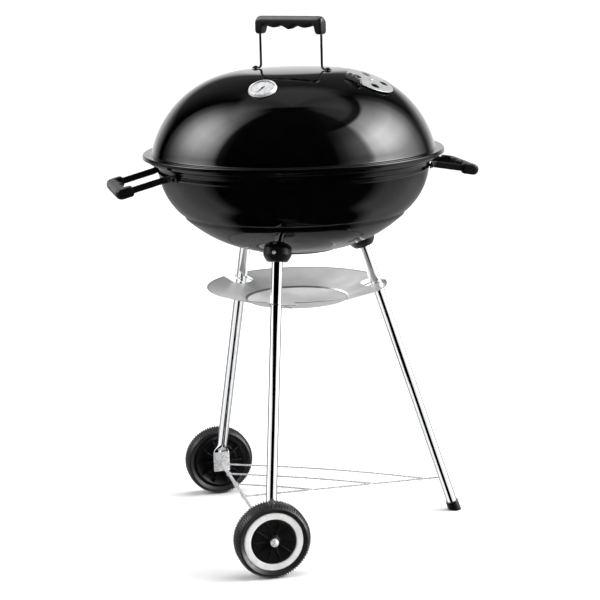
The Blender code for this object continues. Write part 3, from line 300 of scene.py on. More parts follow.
class Shader(Nodes):
    """A Principled material driven by object-space procedural textures."""

    def __init__(self, name, colour, roughness, metallic=0.0, **sockets):
        self.material = bpy.data.materials.new(name)
        self.material.use_nodes = True
        self.material.diffuse_color = (*colour, 1)
        super().__init__(self.material.node_tree)
        self.shader = self.tree.nodes["Principled BSDF"]
        self.set("Base Color", (*colour, 1))
        self.set("Roughness", roughness)
        self.set("Metallic", metallic)
        for key, value in sockets.items():
            self.set(key.replace("_", " "), value)
        self.position = self.node("ShaderNodeTexCoord").outputs["Object"]
        self.normal = None

    def set(self, socket, value):
        self.shader.inputs[socket].default_value = value

    def noise(self, scale, detail, vector=None):
        inputs = {"Scale": scale, "Detail": detail, "Vector": vector or self.position}
        return self.node("ShaderNodeTexNoise", inputs).outputs["Fac"]

    def cells(self, scale):
        inputs = {"Scale": scale, "Vector": self.position}
        return self.node("ShaderNodeTexVoronoi", inputs).outputs["Distance"]

    def colour(self, value, stops):
        self.link(self.ramp(value, stops), self.shader.inputs["Base Color"])

    def roughness(self, value, low, high):
        """Spread the middle of a noise's range between two roughnesses."""
        change = self.node("ShaderNodeMapRange", {"Value": value, "From Min": 0.3, "From Max": 0.7,
                                                  "To Min": low, "To Max": high})
        self.link(change.outputs["Result"], self.shader.inputs["Roughness"])

    def bump(self, value, distance, strength):
        """Lay one more relief over those already there."""
        inputs = {"Height": value, "Distance": distance, "Strength": strength}
        if self.normal is not None:
            inputs["Normal"] = self.normal
        self.normal = self.node("ShaderNodeBump", inputs).outputs["Normal"]
        self.link(self.normal, self.shader.inputs["Normal"])


def mottled(name, colour, rough, metallic=0.0, *, tone, grain, relief=(), **sockets):
    """A surface whose colour, roughness and relief each follow a noise of their own.

    tone: noise scale, noise detail, dark stop, light stop. grain: noise scale, noise
    detail, low and high roughness. relief: scale, detail (None for cells), depth, strength.
    """
    s = Shader(name, colour, rough, metallic, **sockets)
    s.colour(s.noise(*tone[:2]), tone[2:])
    s.roughness(s.noise(*grain[:2]), *grain[2:])
    for scale, detail, depth, strength in relief:
        s.bump(s.noise(scale, detail) if detail else s.cells(scale), depth, strength)
    return s


def darker(colour):
    return tuple(c * 0.88 for c in colour)


def make_plastic(name, colour, rough, grain, depth):
    """Moulded plastic: a fine spark-eroded grain and slight cloudiness."""
    light = tuple(min(1, c * 1.3) for c in colour)
    return mottled(name, colour, rough, tone=(60, 4, (0.3, colour), (0.75, light)),
                   grain=(140, 4, rough - 0.05, rough + 0.06),
                   relief=[(grain, None, depth, 0.3), (220, 3, 0.00006, 0.18)]).material


def make_plated(name, colour, low, high, metallic=1.0):
    """Zinc or nickel plate: bright, satin, slightly cloudy."""
    return mottled(name, colour, (low + high) / 2, metallic,
                   tone=(120, 5, (0.3, darker(colour)), (0.7, colour)),
                   grain=(260, 4, low, high), relief=[(1500, 3, 0.000012, 0.4)]).material


def make_ink(name, level):
    colour = (level,) * 3
    return mottled(name, colour, 0.4, tone=(300, 3, (0.3, colour), (0.7, (level * 1.4 + 0.002,) * 3)),
                   grain=(500, 2, 0.3, 0.5)).material


def make_chrome():
    """Bright chrome plate with the faintest haze and drawing lines."""
    s = mottled("chrome_plate", (0.86, 0.87, 0.885), 0.05, 1.0,
                tone=(6, 4, (0.3, (0.83, 0.84, 0.86)), (0.7, (0.9, 0.905, 0.92))),
                grain=(40, 5, 0.035, 0.085))
    along = s.node("ShaderNodeMapping", {"Vector": s.position, "Scale": (900, 900, 14)})
    s.bump(s.noise(1, 2, along.outputs["Vector"]), 0.000004, 0.25)
    return s.material


def make_sheet(name, centre, colour, low, high, lines, metallic, painted_shade_at=None):
    """Spun satin sheet: fine rings about a centre, faint cloudy tone, and painted shade if asked.

    The last argument, if given, paints shade on the upper side by the distance from the centre, in 0.2 m
    units.
    """
    s = mottled(name, colour, (low + high) / 2, metallic,
                tone=(22, 5, (0.3, darker(colour)), (0.7, colour)), grain=(30, 4, low, high))
    from_centre = s.node("ShaderNodeVectorMath", {0: s.position, 1: centre}, operation="SUBTRACT")
    length = s.node("ShaderNodeVectorMath", {0: from_centre.outputs["Vector"]}, operation="LENGTH")
    radius = length.outputs["Value"]
    rings = s.node("ShaderNodeTexNoise", {"W": radius, "Scale": lines, "Detail": 3}, noise_dimensions="1D")
    # painted shade: upward faces are darkened in rings by their distance from the centre
    if painted_shade_at:
        normal = s.node("ShaderNodeNewGeometry").outputs["Normal"]
        facing = s.node("ShaderNodeSeparateXYZ", {"Vector": normal})
        above = s.math("GREATER_THAN", facing.outputs["Z"], 0.0)
        reach = s.math("MULTIPLY", s.math("MULTIPLY", radius, 5.0), above)
        base = s.shader.inputs["Base Color"]
        shade = s.node("ShaderNodeMix", {"Factor": 1.0, 6: base.links[0].from_socket,
                                         7: s.ramp(reach, painted_shade_at)}, data_type="RGBA", blend_type="MULTIPLY")
        s.link(shade.outputs[2], base)
    s.bump(rings.outputs["Fac"], 0.000012, 0.35)
    s.bump(s.noise(500, 3), 0.00001, 0.25)
    return s.material


def make_glass():
    s = Shader("lens_glass", (1, 1, 1), 0.02, Transmission_Weight=1.0, IOR=1.45, Alpha=0.22)
    s.bump(s.noise(60, 2), 0.000004, 0.2)
    return s.material


# Vitreous enamel: deep black glass over steel, with a faint orange peel.
ENAMEL = mottled("gloss_enamel", (0.001, 0.001, 0.0011), 0.075,
                 tone=(35, 4, (0.3, (0.0006, 0.0006, 0.0007)), (0.7, (0.0014, 0.0014, 0.0015))),
                 grain=(18, 5, 0.022, 0.05),
                 relief=[(160, 2, 0.000012, 0.35), (900, 2, 0.000004, 0.4)]).material
# Black coated bar and wire, slightly uneven, worn lighter in places.
STEEL = mottled("coated_steel", (0.004, 0.004, 0.0045), 0.34, Specular_IOR_Level=0.3,
                tone=(90, 5, (0.25, (0.003, 0.003, 0.003)), (0.8, (0.008, 0.008, 0.0085))),
                grain=(300, 3, 0.26, 0.44), relief=[(700, 3, 0.00004, 0.3)]).material
# Nearly black moulded rubber, a little dusty, with a soft sheen.
TYRE = mottled("tyre_rubber", (0.007, 0.007, 0.0075), 0.36,
               tone=(45, 6, (0.3, (0.005, 0.005, 0.0055)), (0.75, (0.01, 0.01, 0.0105))),
               grain=(120, 4, 0.28, 0.44), relief=[(900, 4, 0.00005, 0.35)]).material
DIAL = mottled("dial_face", (0.6, 0.61, 0.62), 0.35, 0.35,
               tone=(400, 3, (0.3, (0.48, 0.49, 0.5)), (0.7, (0.66, 0.67, 0.68))),
               grain=(500, 3, 0.28, 0.42), relief=[(1800, 2, 0.00001, 0.3)]).material
PLASTIC = make_plastic("moulded_black", (0.0045, 0.0045, 0.005), 0.33, 2600, 0.00004)
HUB = make_plastic("hub_black", (0.0035, 0.0035, 0.004), 0.42, 1800, 0.00003)
WHITE = make_plastic("trim_white", (0.66, 0.66, 0.65), 0.34, 2200, 0.00002)
CHROME = make_chrome()
ZINC = make_plated("zinc_plate", (0.74, 0.75, 0.77), 0.16, 0.3)
BRIGHT = make_plated("bright_wire", (0.74, 0.745, 0.755), 0.22, 0.34, 0.35)
# Ash pan with painted shade on its upper side: a dark ring at the pan's step, a darker flange and a dark
# line just inside the rim.
ALUMINIUM = make_sheet("satin_aluminium", (0, 0, 0.46), (0.7, 0.7, 0.705), 0.34, 0.46, 1400, 0.45,
                       [(0.472, 1.0), (0.48, 0.3), (0.494, 0.3), (0.503, 0.8), (0.852, 0.8),
                        (0.862, 0.4)])
GLASS = make_glass()
INK = make_ink("dial_ink", 0.02)
POINTER = make_ink("pointer_black", 0.012)


# ---------------- the lid
ARC_R, ARC_AT = 0.1915, (0.0815, 0.7035)        # the turned arc of the dome's side
CROWN = radians(3.2)                            # slope where the side meets the flat crown
DOME_BASE_Z, FLANGE_R, LIP_Z = 0.7455, 0.285, 0.7385
CROWN_R = ARC_AT[0] + ARC_R * sin(CROWN)


def dome_z(r):
    if r >= CROWN_R:
        return ARC_AT[1] + sqrt(ARC_R ** 2 - (r - ARC_AT[0]) ** 2)
    big = CROWN_R / sin(CROWN)
    return ARC_AT[1] + ARC_R * cos(CROWN) - big * cos(CROWN) + sqrt(big ** 2 - r ** 2)


def dome_frame(r, azimuth):
    """A frame on the dome's outer surface, Z square to it and X down the slope."""
    lean = asin((r - ARC_AT[0]) / ARC_R)
    out = Vector((cos(azimuth), sin(azimuth), 0))
    return frame_matrix(out * r + Vector((0, 0, dome_z(r))),
                        out * sin(lean) + Vector((0, 0, cos(lean))), out)


VENT = dome_frame(0.1619, radians(-39.6))
VENT_DISC_R, VENT_PCR = 0.0455, 0.028          # the disc, and the circle through its holes
VENT_HOLES = [(VENT_PCR * cos(radians(45) + i * pi / 2), VENT_PCR * sin(radians(45) + i * pi / 2))
              for i in range(4)]
VENT_METAL = make_sheet("spun_disc", VENT.translation, (0.5, 0.505, 0.51), 0.24, 0.36, 3200, 0.5)
TAB_TURN = spin(radians(-15))
THERMO = dome_frame(0.168, radians(-121))


def vent_cutters(radius, at=Matrix()):
    return [moved(rod(radius, -0.02, 0.02), at @ shift(x, y)) for x, y in VENT_HOLES]


def build_lid():
    base = acos((DOME_BASE_Z - ARC_AT[1]) / ARC_R)
    crown = [(CROWN_R * i / 10, dome_z(CROWN_R * i / 10)) for i in range(10)]
    side = arc(ARC_AT, ARC_R, pi / 2 - CROWN, pi / 2 - base, 44)
    edge = rounded([side[-3], side[-1], (FLANGE_R - 0.002, DOME_BASE_Z + 0.0004),
                    (FLANGE_R, DOME_BASE_Z - 0.0014), (FLANGE_R, LIP_Z)], 0.0022, 5)
    outer = crown + side[:-3] + edge
    inner = offset(outer, -SHEET)
    inner[0] = (0.0, outer[0][1] - SHEET)
    lip = [(FLANGE_R - 0.0002, LIP_Z - 0.00012), (FLANGE_R - SHEET + 0.0002, LIP_Z - 0.00012)]
    shell = turned(outer + lip + list(reversed(inner)), 192)
    piece("lid_enamel", cut(shell, vent_cutters(0.0084, VENT)), ENAMEL, "lid", ["lid_shell"], 30)


def build_vent():
    """Pressed disc with a rolled edge, raised lips round its holes, black wavy grip and rivet."""
    dish, thick = 0.36, 0.0012
    top = 0.001 + thick

    def surface(r):
        return top - (dish - sqrt(dish * dish - r * r))

    radii = [VENT_DISC_R * i / 16 for i in range(16)] + [VENT_DISC_R - 0.0005]
    upper = [(r, surface(r)) for r in radii]
    edge = [(VENT_DISC_R, upper[-1][1] - 0.0004), (VENT_DISC_R, upper[-1][1] - thick + 0.0003)]
    lower = [(r, z - thick) for r, z in reversed(upper)]
    ear_z = surface(VENT_DISC_R)
    ear_in, ear_out = VENT_DISC_R - 0.0022, VENT_DISC_R + 0.0053
    ear = extruded([(-0.011, -ear_in), (0.011, -ear_in), (0.011, -ear_out), (-0.011, -ear_out)],
                   ear_z - thick, ear_z)
    disc = cut(turned(upper + edge + lower, 120), [moved(ear, TAB_TURN)], "UNION")
    lips = [moved(ring_wire(0.0089, 0.00022, surface(VENT_PCR), 40, 8), shift(x, y)) for x, y in VENT_HOLES]
    shape = join([cut(disc, vent_cutters(0.0085))] + lips)
    piece("vent_disc_metal", moved(shape, VENT), VENT_METAL, "lid_vent", ["lid_vent_disc"], 30)

    half = 0.0195
    outline = [(half, -0.001), (-half, -0.001)]
    for i in range(49):
        x = -half + 2 * half * i / 48
        outline.append((x, 0.0088 + 0.0014 * cos(2 * pi * x / 0.013) - 12.0 * x * x))
    tab = bevel_rim(extruded(outline, -0.0034, 0.0034), 0.0011)
    stand_up = frame_matrix((0, -VENT_DISC_R - 0.0038, ear_z), (0, -1, 0), (1, 0, 0))
    piece("vent_grip", moved(tab, VENT @ TAB_TURN @ stand_up), PLASTIC, "lid_vent", ["lid_vent_tab"],
          50)
    rivet = rounded([(0, top + 0.0026), (0.003, top + 0.0022), (0.0055, top + 0.0008),
                     (0.0055, top + GAP), (0.0025, top + GAP), (0.0025, -SHEET - GAP - 0.0004),
                     (0.005, -SHEET - GAP - 0.0004), (0.005, -SHEET - 0.0014), (0, -SHEET - 0.0024)],
                    0.0008)
    piece("vent_rivet", moved(turned(rivet, 40), VENT), VENT_METAL, "lid", ["lid_vent_rivet"])


def build_thermometer():
    r = 0.0258
    inner = r - 0.0026 - GAP
    face_z = 0.0024
    case = [(0, -0.052), (0.0018, -0.0516), (0.0026, -0.05), (0.0026, -0.013), (0.0044, -0.012),
            (0.0044, 0.0004), (0.015, 0.0001), (0.0245, -0.0004), (0.0266, -0.0003), (r, 0.0006),
            (r - 0.0004, 0.003), (r - 0.0016, 0.0048), (r - 0.0026, 0.0052), (r - 0.0032, 0.0048),
            (r - 0.0032, 0.0034), (r - 0.0026, 0.0034), (r - 0.0026, 0.0012), (0.0, 0.0012)]
    piece("thermometer_housing", moved(turned(rounded(case, 0.0008), 96), THERMO), BRIGHT, "lid",
          ["thermometer_case"], 50)
    face = [(0, face_z), (inner, face_z), (inner, 0.0015), (0, 0.0015)]
    piece("thermometer_face", moved(turned(face, 72), THERMO), DIAL, "lid", ["thermometer_dial"])

    marks = []
    for i in range(31):
        length, width = (0.005, 0.00055) if i % 5 == 0 else (0.0034, 0.0003)
        inside, outside = inner - length, inner - 0.0016
        mark = extruded([(inside, -width), (outside, -width), (outside, width), (inside, width)],
                        face_z, face_z + 0.00008)
        marks.append(moved(mark, spin(radians(-25 - 310 * i / 30))))
    marks.append(ring_wire(inner - 0.0013, 0.00012, face_z + 0.00002, 90, 6))
    piece("thermometer_scale", moved(join(marks), THERMO), INK, "lid")

    lens = rounded([(0, 0.0047), (0.012, 0.0046), (inner, 0.0043), (inner, 0.0038), (0, 0.0039)], 0.0004)
    piece("thermometer_window", moved(turned(lens, 72), THERMO), GLASS, "lid", ["thermometer_lens"])
    pointer = [(0.0172, 0.0), (0.004, 0.0011), (-0.0065, 0.0009), (-0.0065, -0.0009), (0.004, -0.0011)]
    needle = join([extruded(pointer, 0.0028, 0.0032), rod(0.0022, 0.0027, 0.0035, 28)])
    piece("thermometer_pointer", moved(needle, THERMO @ spin(radians(-22))), POINTER,
          "thermometer_needle", ["thermometer_needle"])
    hexagon = rounded([(0.008 * cos(a), 0.008 * sin(a)) for a in circle(6)], 0.0008, 2, closed=True)
    nut = bevel_rim(extruded(hexagon, -SHEET - 0.0066, -SHEET - 0.0006), 0.0005, 2)
    nut = cut(nut, [rod(0.0048, -0.03, 0.03)])
    piece("thermometer_lock_nut", moved(nut, THERMO), ZINC, "lid", ["thermometer_nut"])


# ---------------- handles
GRIP_LENGTH, GRIP_WIDTH, GRIP_REACH, GRIP_BODY = 0.1475, 0.02, 0.0335, 0.0205
LUG_IN = GRIP_LENGTH / 2 - 0.014      # the lugs' inner faces, from the grip's middle


def grip_shape():
    """The moulded grip: sections along its length, with a bull-nosed back, two lugs and scallops."""
    half, end_r, last, edge_r = GRIP_LENGTH / 2, 0.0095, LUG_IN - 0.0045, 0.003
    stations = []
    for i in range(57):
        u = last * i / 56
        stations.append((u, 0.0217 - 0.045 * u + (0.0031 - 0.04 * u) * cos(2 * pi * u / 0.036)))
    stations += [(last + 0.0015, stations[-1][1] + 0.0016), (last + 0.0028, stations[-1][1] + 0.0052),
                 (LUG_IN - 0.0008, GRIP_REACH - 0.0062), (LUG_IN, GRIP_REACH - 0.003),
                 (LUG_IN + 0.001, GRIP_REACH - 0.001), (LUG_IN + 0.0024, GRIP_REACH),
                 (half - 0.004, GRIP_REACH), (half - 0.0022, GRIP_REACH - 0.0004),
                 (half - 0.001, GRIP_REACH - 0.0013), (half - 0.0003, GRIP_REACH - 0.0026),
                 (half, GRIP_REACH - 0.0042)]
    depths = dict(stations)
    for angle in (20, 40, 55, 68):
        u = half - end_r + end_r * sin(radians(angle))
        low = max(k for k in depths if k <= u)
        high = min(k for k in depths if k > u)
        stations.append((u, depths[low] + (depths[high] - depths[low]) * (u - low) / (high - low)))
    stations.sort()
    stations = [(-u, d) for u, d in reversed(stations[1:])] + stations
    rings = []
    for u, depth in stations:
        over = max(abs(u) - (half - end_r), 0.0)
        back = end_r - sqrt(max(end_r ** 2 - over ** 2, 0.0))
        close = max(abs(u) - (half - edge_r), 0.0)
        wide = GRIP_WIDTH / 2 - (edge_r - sqrt(max(edge_r ** 2 - close ** 2, 0.0)))
        front_r = min(0.0052, (depth - back) * 0.3)
        back_r = min(wide - 0.0008, (depth - back) * 0.55)
        ring = []
        for cy, cz, r, start in ((-back - back_r, wide - back_r, back_r, 0),
                                 (-depth + front_r, wide - front_r, front_r, 90),
                                 (-depth + front_r, -wide + front_r, front_r, 180),
                                 (-back - back_r, -wide + back_r, back_r, 270)):
            ring += [(u, y, z) for y, z in arc((cy, cz), r, radians(start), radians(start + 90), 8)]
        rings.append(ring)
    return loft(rings)


HALF_BAR, FOOT_R, BAR_Z = 0.0655, 0.2602, 0.712   # half the arms' spacing, the feet's radius and height
SIDES = {"front": (radians(10.4), 0.347), "back": (radians(14.6), 0.3522)}   # tilt, grip's back


def side_plane(name):
    flip = spin(0 if name == "front" else pi)
    return flip @ shift(0.25, 0, BAR_Z) @ Matrix.Rotation(SIDES[name][0], 4, "Y") @ shift(-0.25, 0)


def side_path(name):
    """The flat bar's plan: a foot on the bowl, an arm, the run through the grip, and back."""
    bar_az = asin(HALF_BAR / FOOT_R)
    foot = arc((0, 0), FOOT_R, bar_az + radians(8.0), bar_az + radians(2.0), 10)
    entry = [(FOOT_R * cos(bar_az) + 0.0046, HALF_BAR + 0.0022), (FOOT_R * cos(bar_az) + 0.0085, HALF_BAR)]
    corner = 0.0045
    across = SIDES[name][1] - GRIP_BODY / 2 - corner
    one = foot[:-1] + rounded([foot[-1]] + entry + [(across, HALF_BAR)], 0.004, 4)
    one += arc((across, HALF_BAR - corner), corner, pi / 2, 0, 6)[1:]
    return one + [(x, -y) for x, y in reversed(one)]


def strip(path, width, thickness, plane):
    """A flat bar with softly rounded edges along a plan path."""
    x, y = thickness / 2, width / 2
    section = rounded([(x, y), (-x, y), (-x, -y), (x, -y)], 0.0007, 3, closed=True)
    rings = []
    for i, (u, v) in enumerate(path):
        before, after = path[max(i - 1, 0)], path[min(i + 1, len(path) - 1)]
        d1 = Vector((u - before[0], v - before[1]))
        d2 = Vector((after[0] - u, after[1] - v))
        d1 = d1.normalized() if d1.length > 1e-9 else d2.normalized()
        d2 = d2.normalized() if d2.length > 1e-9 else d1
        side = Vector((-(d1 + d2).y, (d1 + d2).x)).normalized()
        stretch = 1 / max(side.dot(Vector((-d1.y, d1.x))), 0.5)
        rings.append([plane @ Vector((u + side.x * s * stretch, v + side.y * s * stretch, w))
                      for s, w in section])
    return loft(rings)


def build_side_handle(sign, name):
    tilt, grip_back = SIDES[name]
    plane = side_plane(name)
    piece("side_bar_" + name, strip(side_path(name), 0.012, 0.0032, plane), STEEL, "stand",
          ["side_frame_" + name], 50)
    turn = Matrix(((0, 1, 0, grip_back), (-1, 0, 0, 0), (0, 0, 1, 0), (0, 0, 0, 1)))
    piece("side_handle_" + name, moved(grip_shape(), plane @ turn), PLASTIC, "stand",
          ["side_grip_" + name], 60)
    azimuth = asin(HALF_BAR / FOOT_R) + radians(5.0)
    for side, tag in ((1, "a"), (-1, "b")):
        out = Vector((cos(azimuth), sign * side * sin(azimuth), 0))
        at = frame_matrix(plane @ (out * (FOOT_R + 0.0015)), plane.to_3x3() @ out, (0, 0, 1))
        wall = wall_r(at.translation.z)
        inside = wall - hypot(*at.translation[:2]) - SHEET - 0.0009 - 0.0042 * sin(tilt)
        head = rounded([(0, 0.0036), (0.003, 0.0032), (0.0052, 0.0016), (0.0056, GAP), (0.0025, GAP),
                        (0.0025, inside), (0.0042, inside), (0.004, inside - 0.0012),
                        (0.0022, inside - 0.002), (0, inside - 0.0023)], 0.0008)
        piece(f"side_rivet_head_{name}_{tag}", moved(turned(head, 40), at), STEEL, "stand",
              [f"side_rivet_{name}_{tag}"])


WIRE_HALF, WIRE_R, HANDLE_AZ, GRIP_TOP = 0.068, 0.00225, radians(-46), 0.995


def build_lid_handle():
    """A bent wire whose ends are flattened and riveted to the crown, under a moulded grip."""
    u = Vector((cos(HANDLE_AZ), sin(HANDLE_AZ), 0))
    w = u.cross(Vector((0, 0, 1)))
    plane = Matrix(((u.x, 0, w.x, 0), (u.y, 0, w.y, 0), (0, 1, 0, 0), (0, 0, 0, 1)))
    bend = 0.006
    across = GRIP_TOP - GRIP_BODY / 2 - bend
    foot_z = dome_z(WIRE_HALF + 0.01) + GAP + 0.0014
    # along and up from the wire's bend at the lid, then half depth and half width
    flat = [(0.019, -0.0004, 0.0013, 0.003), (0.018, -0.0004, 0.0013, 0.0043),
            (0.0155, -0.0003, 0.0013, 0.005), (0.009, 0, 0.0013, 0.005),
            (0.005, 0.0003, 0.0015, 0.0042), (0.0022, 0.0016, 0.0018, 0.0032),
            (0.0006, 0.004, 0.0021, 0.0026), (0, 0.0085, WIRE_R, WIRE_R)]
    centres = [(WIRE_HALF + a, foot_z + b, c, d) for a, b, c, d in flat]
    centres += [(a, b, WIRE_R, WIRE_R) for a, b in
                [(WIRE_HALF, across)] + arc((WIRE_HALF - bend, across), bend, radians(15), pi / 2, 6)]
    run = centres + [(-a, b, c, d) for a, b, c, d in reversed(centres)]
    rings = []
    for i, (a, b, deep, wide) in enumerate(run):
        before, after = run[max(i - 1, 0)], run[min(i + 1, len(run) - 1)]
        along = Vector((after[0] - before[0], after[1] - before[1])).normalized()
        normal = Vector((-along.y, along.x))
        rings.append([plane @ Vector((a + normal.x * deep * cos(t), b + normal.y * deep * cos(t),
                                      wide * sin(t))) for t in circle(24)])
    piece("lid_handle_bail", loft(rings), STEEL, "lid", ["lid_handle_wire"], 50)
    piece("lid_grip", moved(grip_shape(), plane @ shift(0, GRIP_TOP)), PLASTIC, "lid",
          ["lid_handle_grip"], 60)
    top = 0.0031 + GAP
    head = rounded([(0, top + 0.003), (0.0026, top + 0.0026), (0.0044, top + 0.0012),
                    (0.0046, top + GAP), (0.0022, top + GAP), (0.0022, -SHEET - GAP - 0.0004),
                    (0.0044, -SHEET - GAP - 0.0004), (0.0042, -SHEET - 0.0018), (0, -SHEET - 0.0026)],
                   0.0007)
    r = WIRE_HALF + 0.0125
    slope = (dome_z(r) - dome_z(r + 0.001)) / 0.001
    for azimuth, tag in ((HANDLE_AZ, "a"), (HANDLE_AZ + pi, "b")):
        out = Vector((cos(azimuth), sin(azimuth), 0))
        at = frame_matrix(out * r + Vector((0, 0, dome_z(r) - 0.0006)), out * slope + Vector((0, 0, 1)), out)
        piece("lid_rivet_head_" + tag, moved(turned(head, 40), at), STEEL, "lid",
              ["lid_rivet_" + tag])


# ---------------- the bowl
WALL_R, WALL_AT, WALL_TOP, LEDGE_Z = 0.1207, (0.1358, 0.722), 0.7092, 0.632
FLARE = [(0.2784, 0.7381), (0.2757, 0.7328), (0.2665, 0.7276), (0.2572, 0.7201), (0.2577, 0.7112)]
DISH_R, DISH_Z, DISH_DEEP, DISH_POWER = 0.2085, 0.555, 0.0675, 2.77


def dish_z(r):
    return DISH_Z + DISH_DEEP * (r / DISH_R) ** DISH_POWER


def bowl_outer():
    """The bowl's outer profile, from under the rim bead down to the middle of the dish."""
    start = asin((WALL_AT[1] - WALL_TOP) / WALL_R)
    end = asin((WALL_AT[1] - LEDGE_Z) / WALL_R)
    wall = arc(WALL_AT, WALL_R, -start, -end, 30)
    dish = [(DISH_R * (1 - i / 36), dish_z(DISH_R * (1 - i / 36))) for i in range(37)]
    collar = rounded(FLARE + [wall[0], wall[1]], 0.003, 5)
    ledge = rounded([wall[-2], wall[-1], (0.2112, 0.6304), dish[0], dish[1]], 0.0018, 4)
    return collar[:-1] + wall[1:-2] + ledge[:-1] + dish[1:]


def wall_r(z):
    """Radius of the bowl's outer surface at a height of its collar or wall."""
    line = bowl_outer()
    for (r0, z0), (r1, z1) in zip(line, line[1:]):
        if z1 <= z <= z0:
            return r0 + (r1 - r0) * (z0 - z) / max(z0 - z1, 1e-9)
    return line[0][0]


def air_holes(low, high, turn=0.0):
    return [moved(rod(0.013, low, high), spin(2 * pi * i / 3 + turn) @ shift(0.042, 0)) for i in range(3)]


def build_bowl():
    outer = bowl_outer()
    inner = offset(outer, -SHEET)
    inner[-1] = (0.0, outer[-1][1] + SHEET)
    bead = arc((0.279, 0.7408), 0.0028, radians(215), radians(-65), 18)
    shell = turned(list(reversed(inner)) + bead + outer[1:], 192)
    piece("bowl_enamel", cut(shell, air_holes(0.54, 0.6, radians(60))), ENAMEL, "stand", ["bowl_shell"],
          30)


def build_damper():
    """A disc with three holes that turns under the bowl, with a lever plate on a short post."""
    radius = 0.08
    upper = [(radius * i / 14, dish_z(radius * i / 14) - 0.0008) for i in range(15)]
    disc = turned(upper + [(r, z - 0.0014) for r, z in reversed(upper)], 110)
    edge_z = dish_z(radius) - 0.0008
    lever = rounded([(0.072, -0.008), (0.072, 0.008), (0.093, 0.01), (0.099, 0.006),
                     (0.099, -0.006), (0.093, -0.01)], 0.004, 4, closed=True)
    plate = bevel_rim(extruded(lever, edge_z - 0.0042, edge_z - 0.0026), 0.0004, 2)
    post = moved(rod(0.005, edge_z - 0.0034, edge_z - 0.0008, 24), shift(0.0752, 0))
    turn = spin(radians(60))
    shape = join([cut(disc, air_holes(0.53, 0.58)), moved(plate, turn), moved(post, turn)])
    piece("damper_plate", shape, STEEL, "bottom_damper", ["bottom_damper"])
    low, high = DISH_Z - 0.0022, DISH_Z + SHEET
    pivot = rounded([(0, high + 0.003), (0.004, high + 0.0026), (0.0065, high + 0.0012),
                     (0.0067, high + GAP), (0.0028, high + GAP), (0.0028, low - GAP), (0.007, low - GAP),
                     (0.007, low - 0.0014), (0.0042, low - 0.0032), (0, low - 0.0036)], 0.0008)
    piece("damper_pivot", turned(pivot, 40), ZINC, "stand", ["bottom_damper_rivet"])


# ---------------- legs, sockets, cap
LEG_R, LEG_WALL, AXLE_X, AXLE_R, AXLE_Z, PLATE_Y = 0.0105, 0.0012, -0.118, 0.0033, 0.07, 0.228
LEGS = {"front": 0, "left": 1, "right": -1}     # which way along Y the leg's foot lies
TOP_Z = 0.6                                     # height at which the leg axes' upper points are given
# a wheel leg's axis: its azimuth at TOP_Z, and its x at the axle's height
WHEEL_LEGS = {"left": (radians(122.0), -0.122), "right": (radians(-117.5), -0.114)}
LEG_END_Z = 0.0085                              # where the front leg ends in its cap


def leg_axis(name):
    """The upper point of a leg's axis, and its run for each metre down."""
    if name == "front":
        return Vector((0.1185, 0, TOP_Z)), Vector((0.3254, 0, -1))
    azimuth, low_x = WHEEL_LEGS[name]
    top = Vector((0.1297 * cos(azimuth), 0.1297 * sin(azimuth), TOP_Z))
    low = Vector((low_x, LEGS[name] * PLATE_Y, AXLE_Z))
    return top, (low - top) / (TOP_Z - AXLE_Z)


def leg_point(name, z):
    top, down = leg_axis(name)
    return top + down * (TOP_Z - z)


def under_bowl(point, direction, gap):
    """Slide a point along a direction until it is a gap below the dish."""
    low, high = -0.05, 0.12
    for _ in range(40):
        middle = (low + high) / 2
        p = point + direction * middle
        low, high = (middle, high) if p.z < dish_z(hypot(p.x, p.y)) - gap else (low, middle)
    return point + direction * low


def leg_frame(name):
    """The same frame as in the CAD: where the leg's axis meets the bowl, Z up the leg."""
    up = -leg_axis(name)[1].normalized()
    origin = under_bowl(leg_point(name, 0.5), up, 0.0)
    return frame_matrix(origin, up, Vector((origin.x, origin.y, 0)))


def hoop(at, radius, height):
    """A ring of points square to a frame's Z."""
    return [at @ Vector((radius * cos(a), radius * sin(a), height)) for a in circle()]


def build_socket(name):
    at = leg_frame(name)
    up = at.col[2].to_3d()
    bottom, bore, web = -0.0215, LEG_R + GAP, -0.0035
    profile = rounded([(0.0262, -0.006), (0.0262, -0.0085), (0.024, -0.0135), (0.0212, -0.018),
                       (0.0186, bottom + 0.0006), (0.016, bottom), (bore, bottom), (bore, web)], 0.0016, 4)
    rings = [[under_bowl(p, up, GAP) for p in hoop(at, r, -0.01)]
             for r in (0.004, 0.012, 0.019, 0.025, 0.0261)]
    rings += [hoop(at, r, h) for r, h in profile]
    screw = at @ frame_matrix((0.0245, 0, -0.0044), (1, 0, 0.25), (0, 0, 1))
    shape = cut(loft(rings), [moved(rod(0.0043, 0.0, 0.012), screw)])
    piece("socket_" + name, shape, PLASTIC, "stand", ["leg_socket_" + name], 50)
    head = rounded([(0, 0.003), (0.0022, 0.0025), (0.0036, 0.0012), (0.0037, GAP), (0.0017, GAP),
                    (0.0017, -0.0155), (0, -0.0165)], 0.0006)
    cross = [moved(extruded([(-0.0019, -0.0004), (0.0019, -0.0004), (0.0019, 0.0004), (-0.0019, 0.0004)],
                            0.0016, 0.006), spin(angle)) for angle in (0, pi / 2)]
    piece("socket_screw_head_" + name, moved(cut(turned(head, 32), cross), screw), BRIGHT, "stand",
          ["socket_screw_" + name])
    inside = SHEET + 0.0021
    bolt = rounded([(0, inside + 0.0042), (0.0034, inside + 0.0038), (0.0062, inside + 0.002),
                    (0.0066, inside), (0.0026, inside), (0.0026, -0.017), (0, -0.018)], 0.0008)
    piece("socket_bolt_head_" + name, moved(turned(bolt, 36), at), ZINC, "stand",
          ["socket_bolt_" + name])


def leg_ring(centre, direction, half_x, half_y, power=1.0):
    """A ring square to a direction: round at power 1, nearer a rectangle below that."""
    z = direction.normalized()
    x = (Vector((1, 0, 0)) - z * z.x).normalized()
    y = z.cross(x)

    def soft(v):
        return abs(v) ** power * (1 if v > 0 else -1)
    return [centre + x * half_x * soft(cos(a)) + y * half_y * soft(sin(a)) for a in circle(48)]


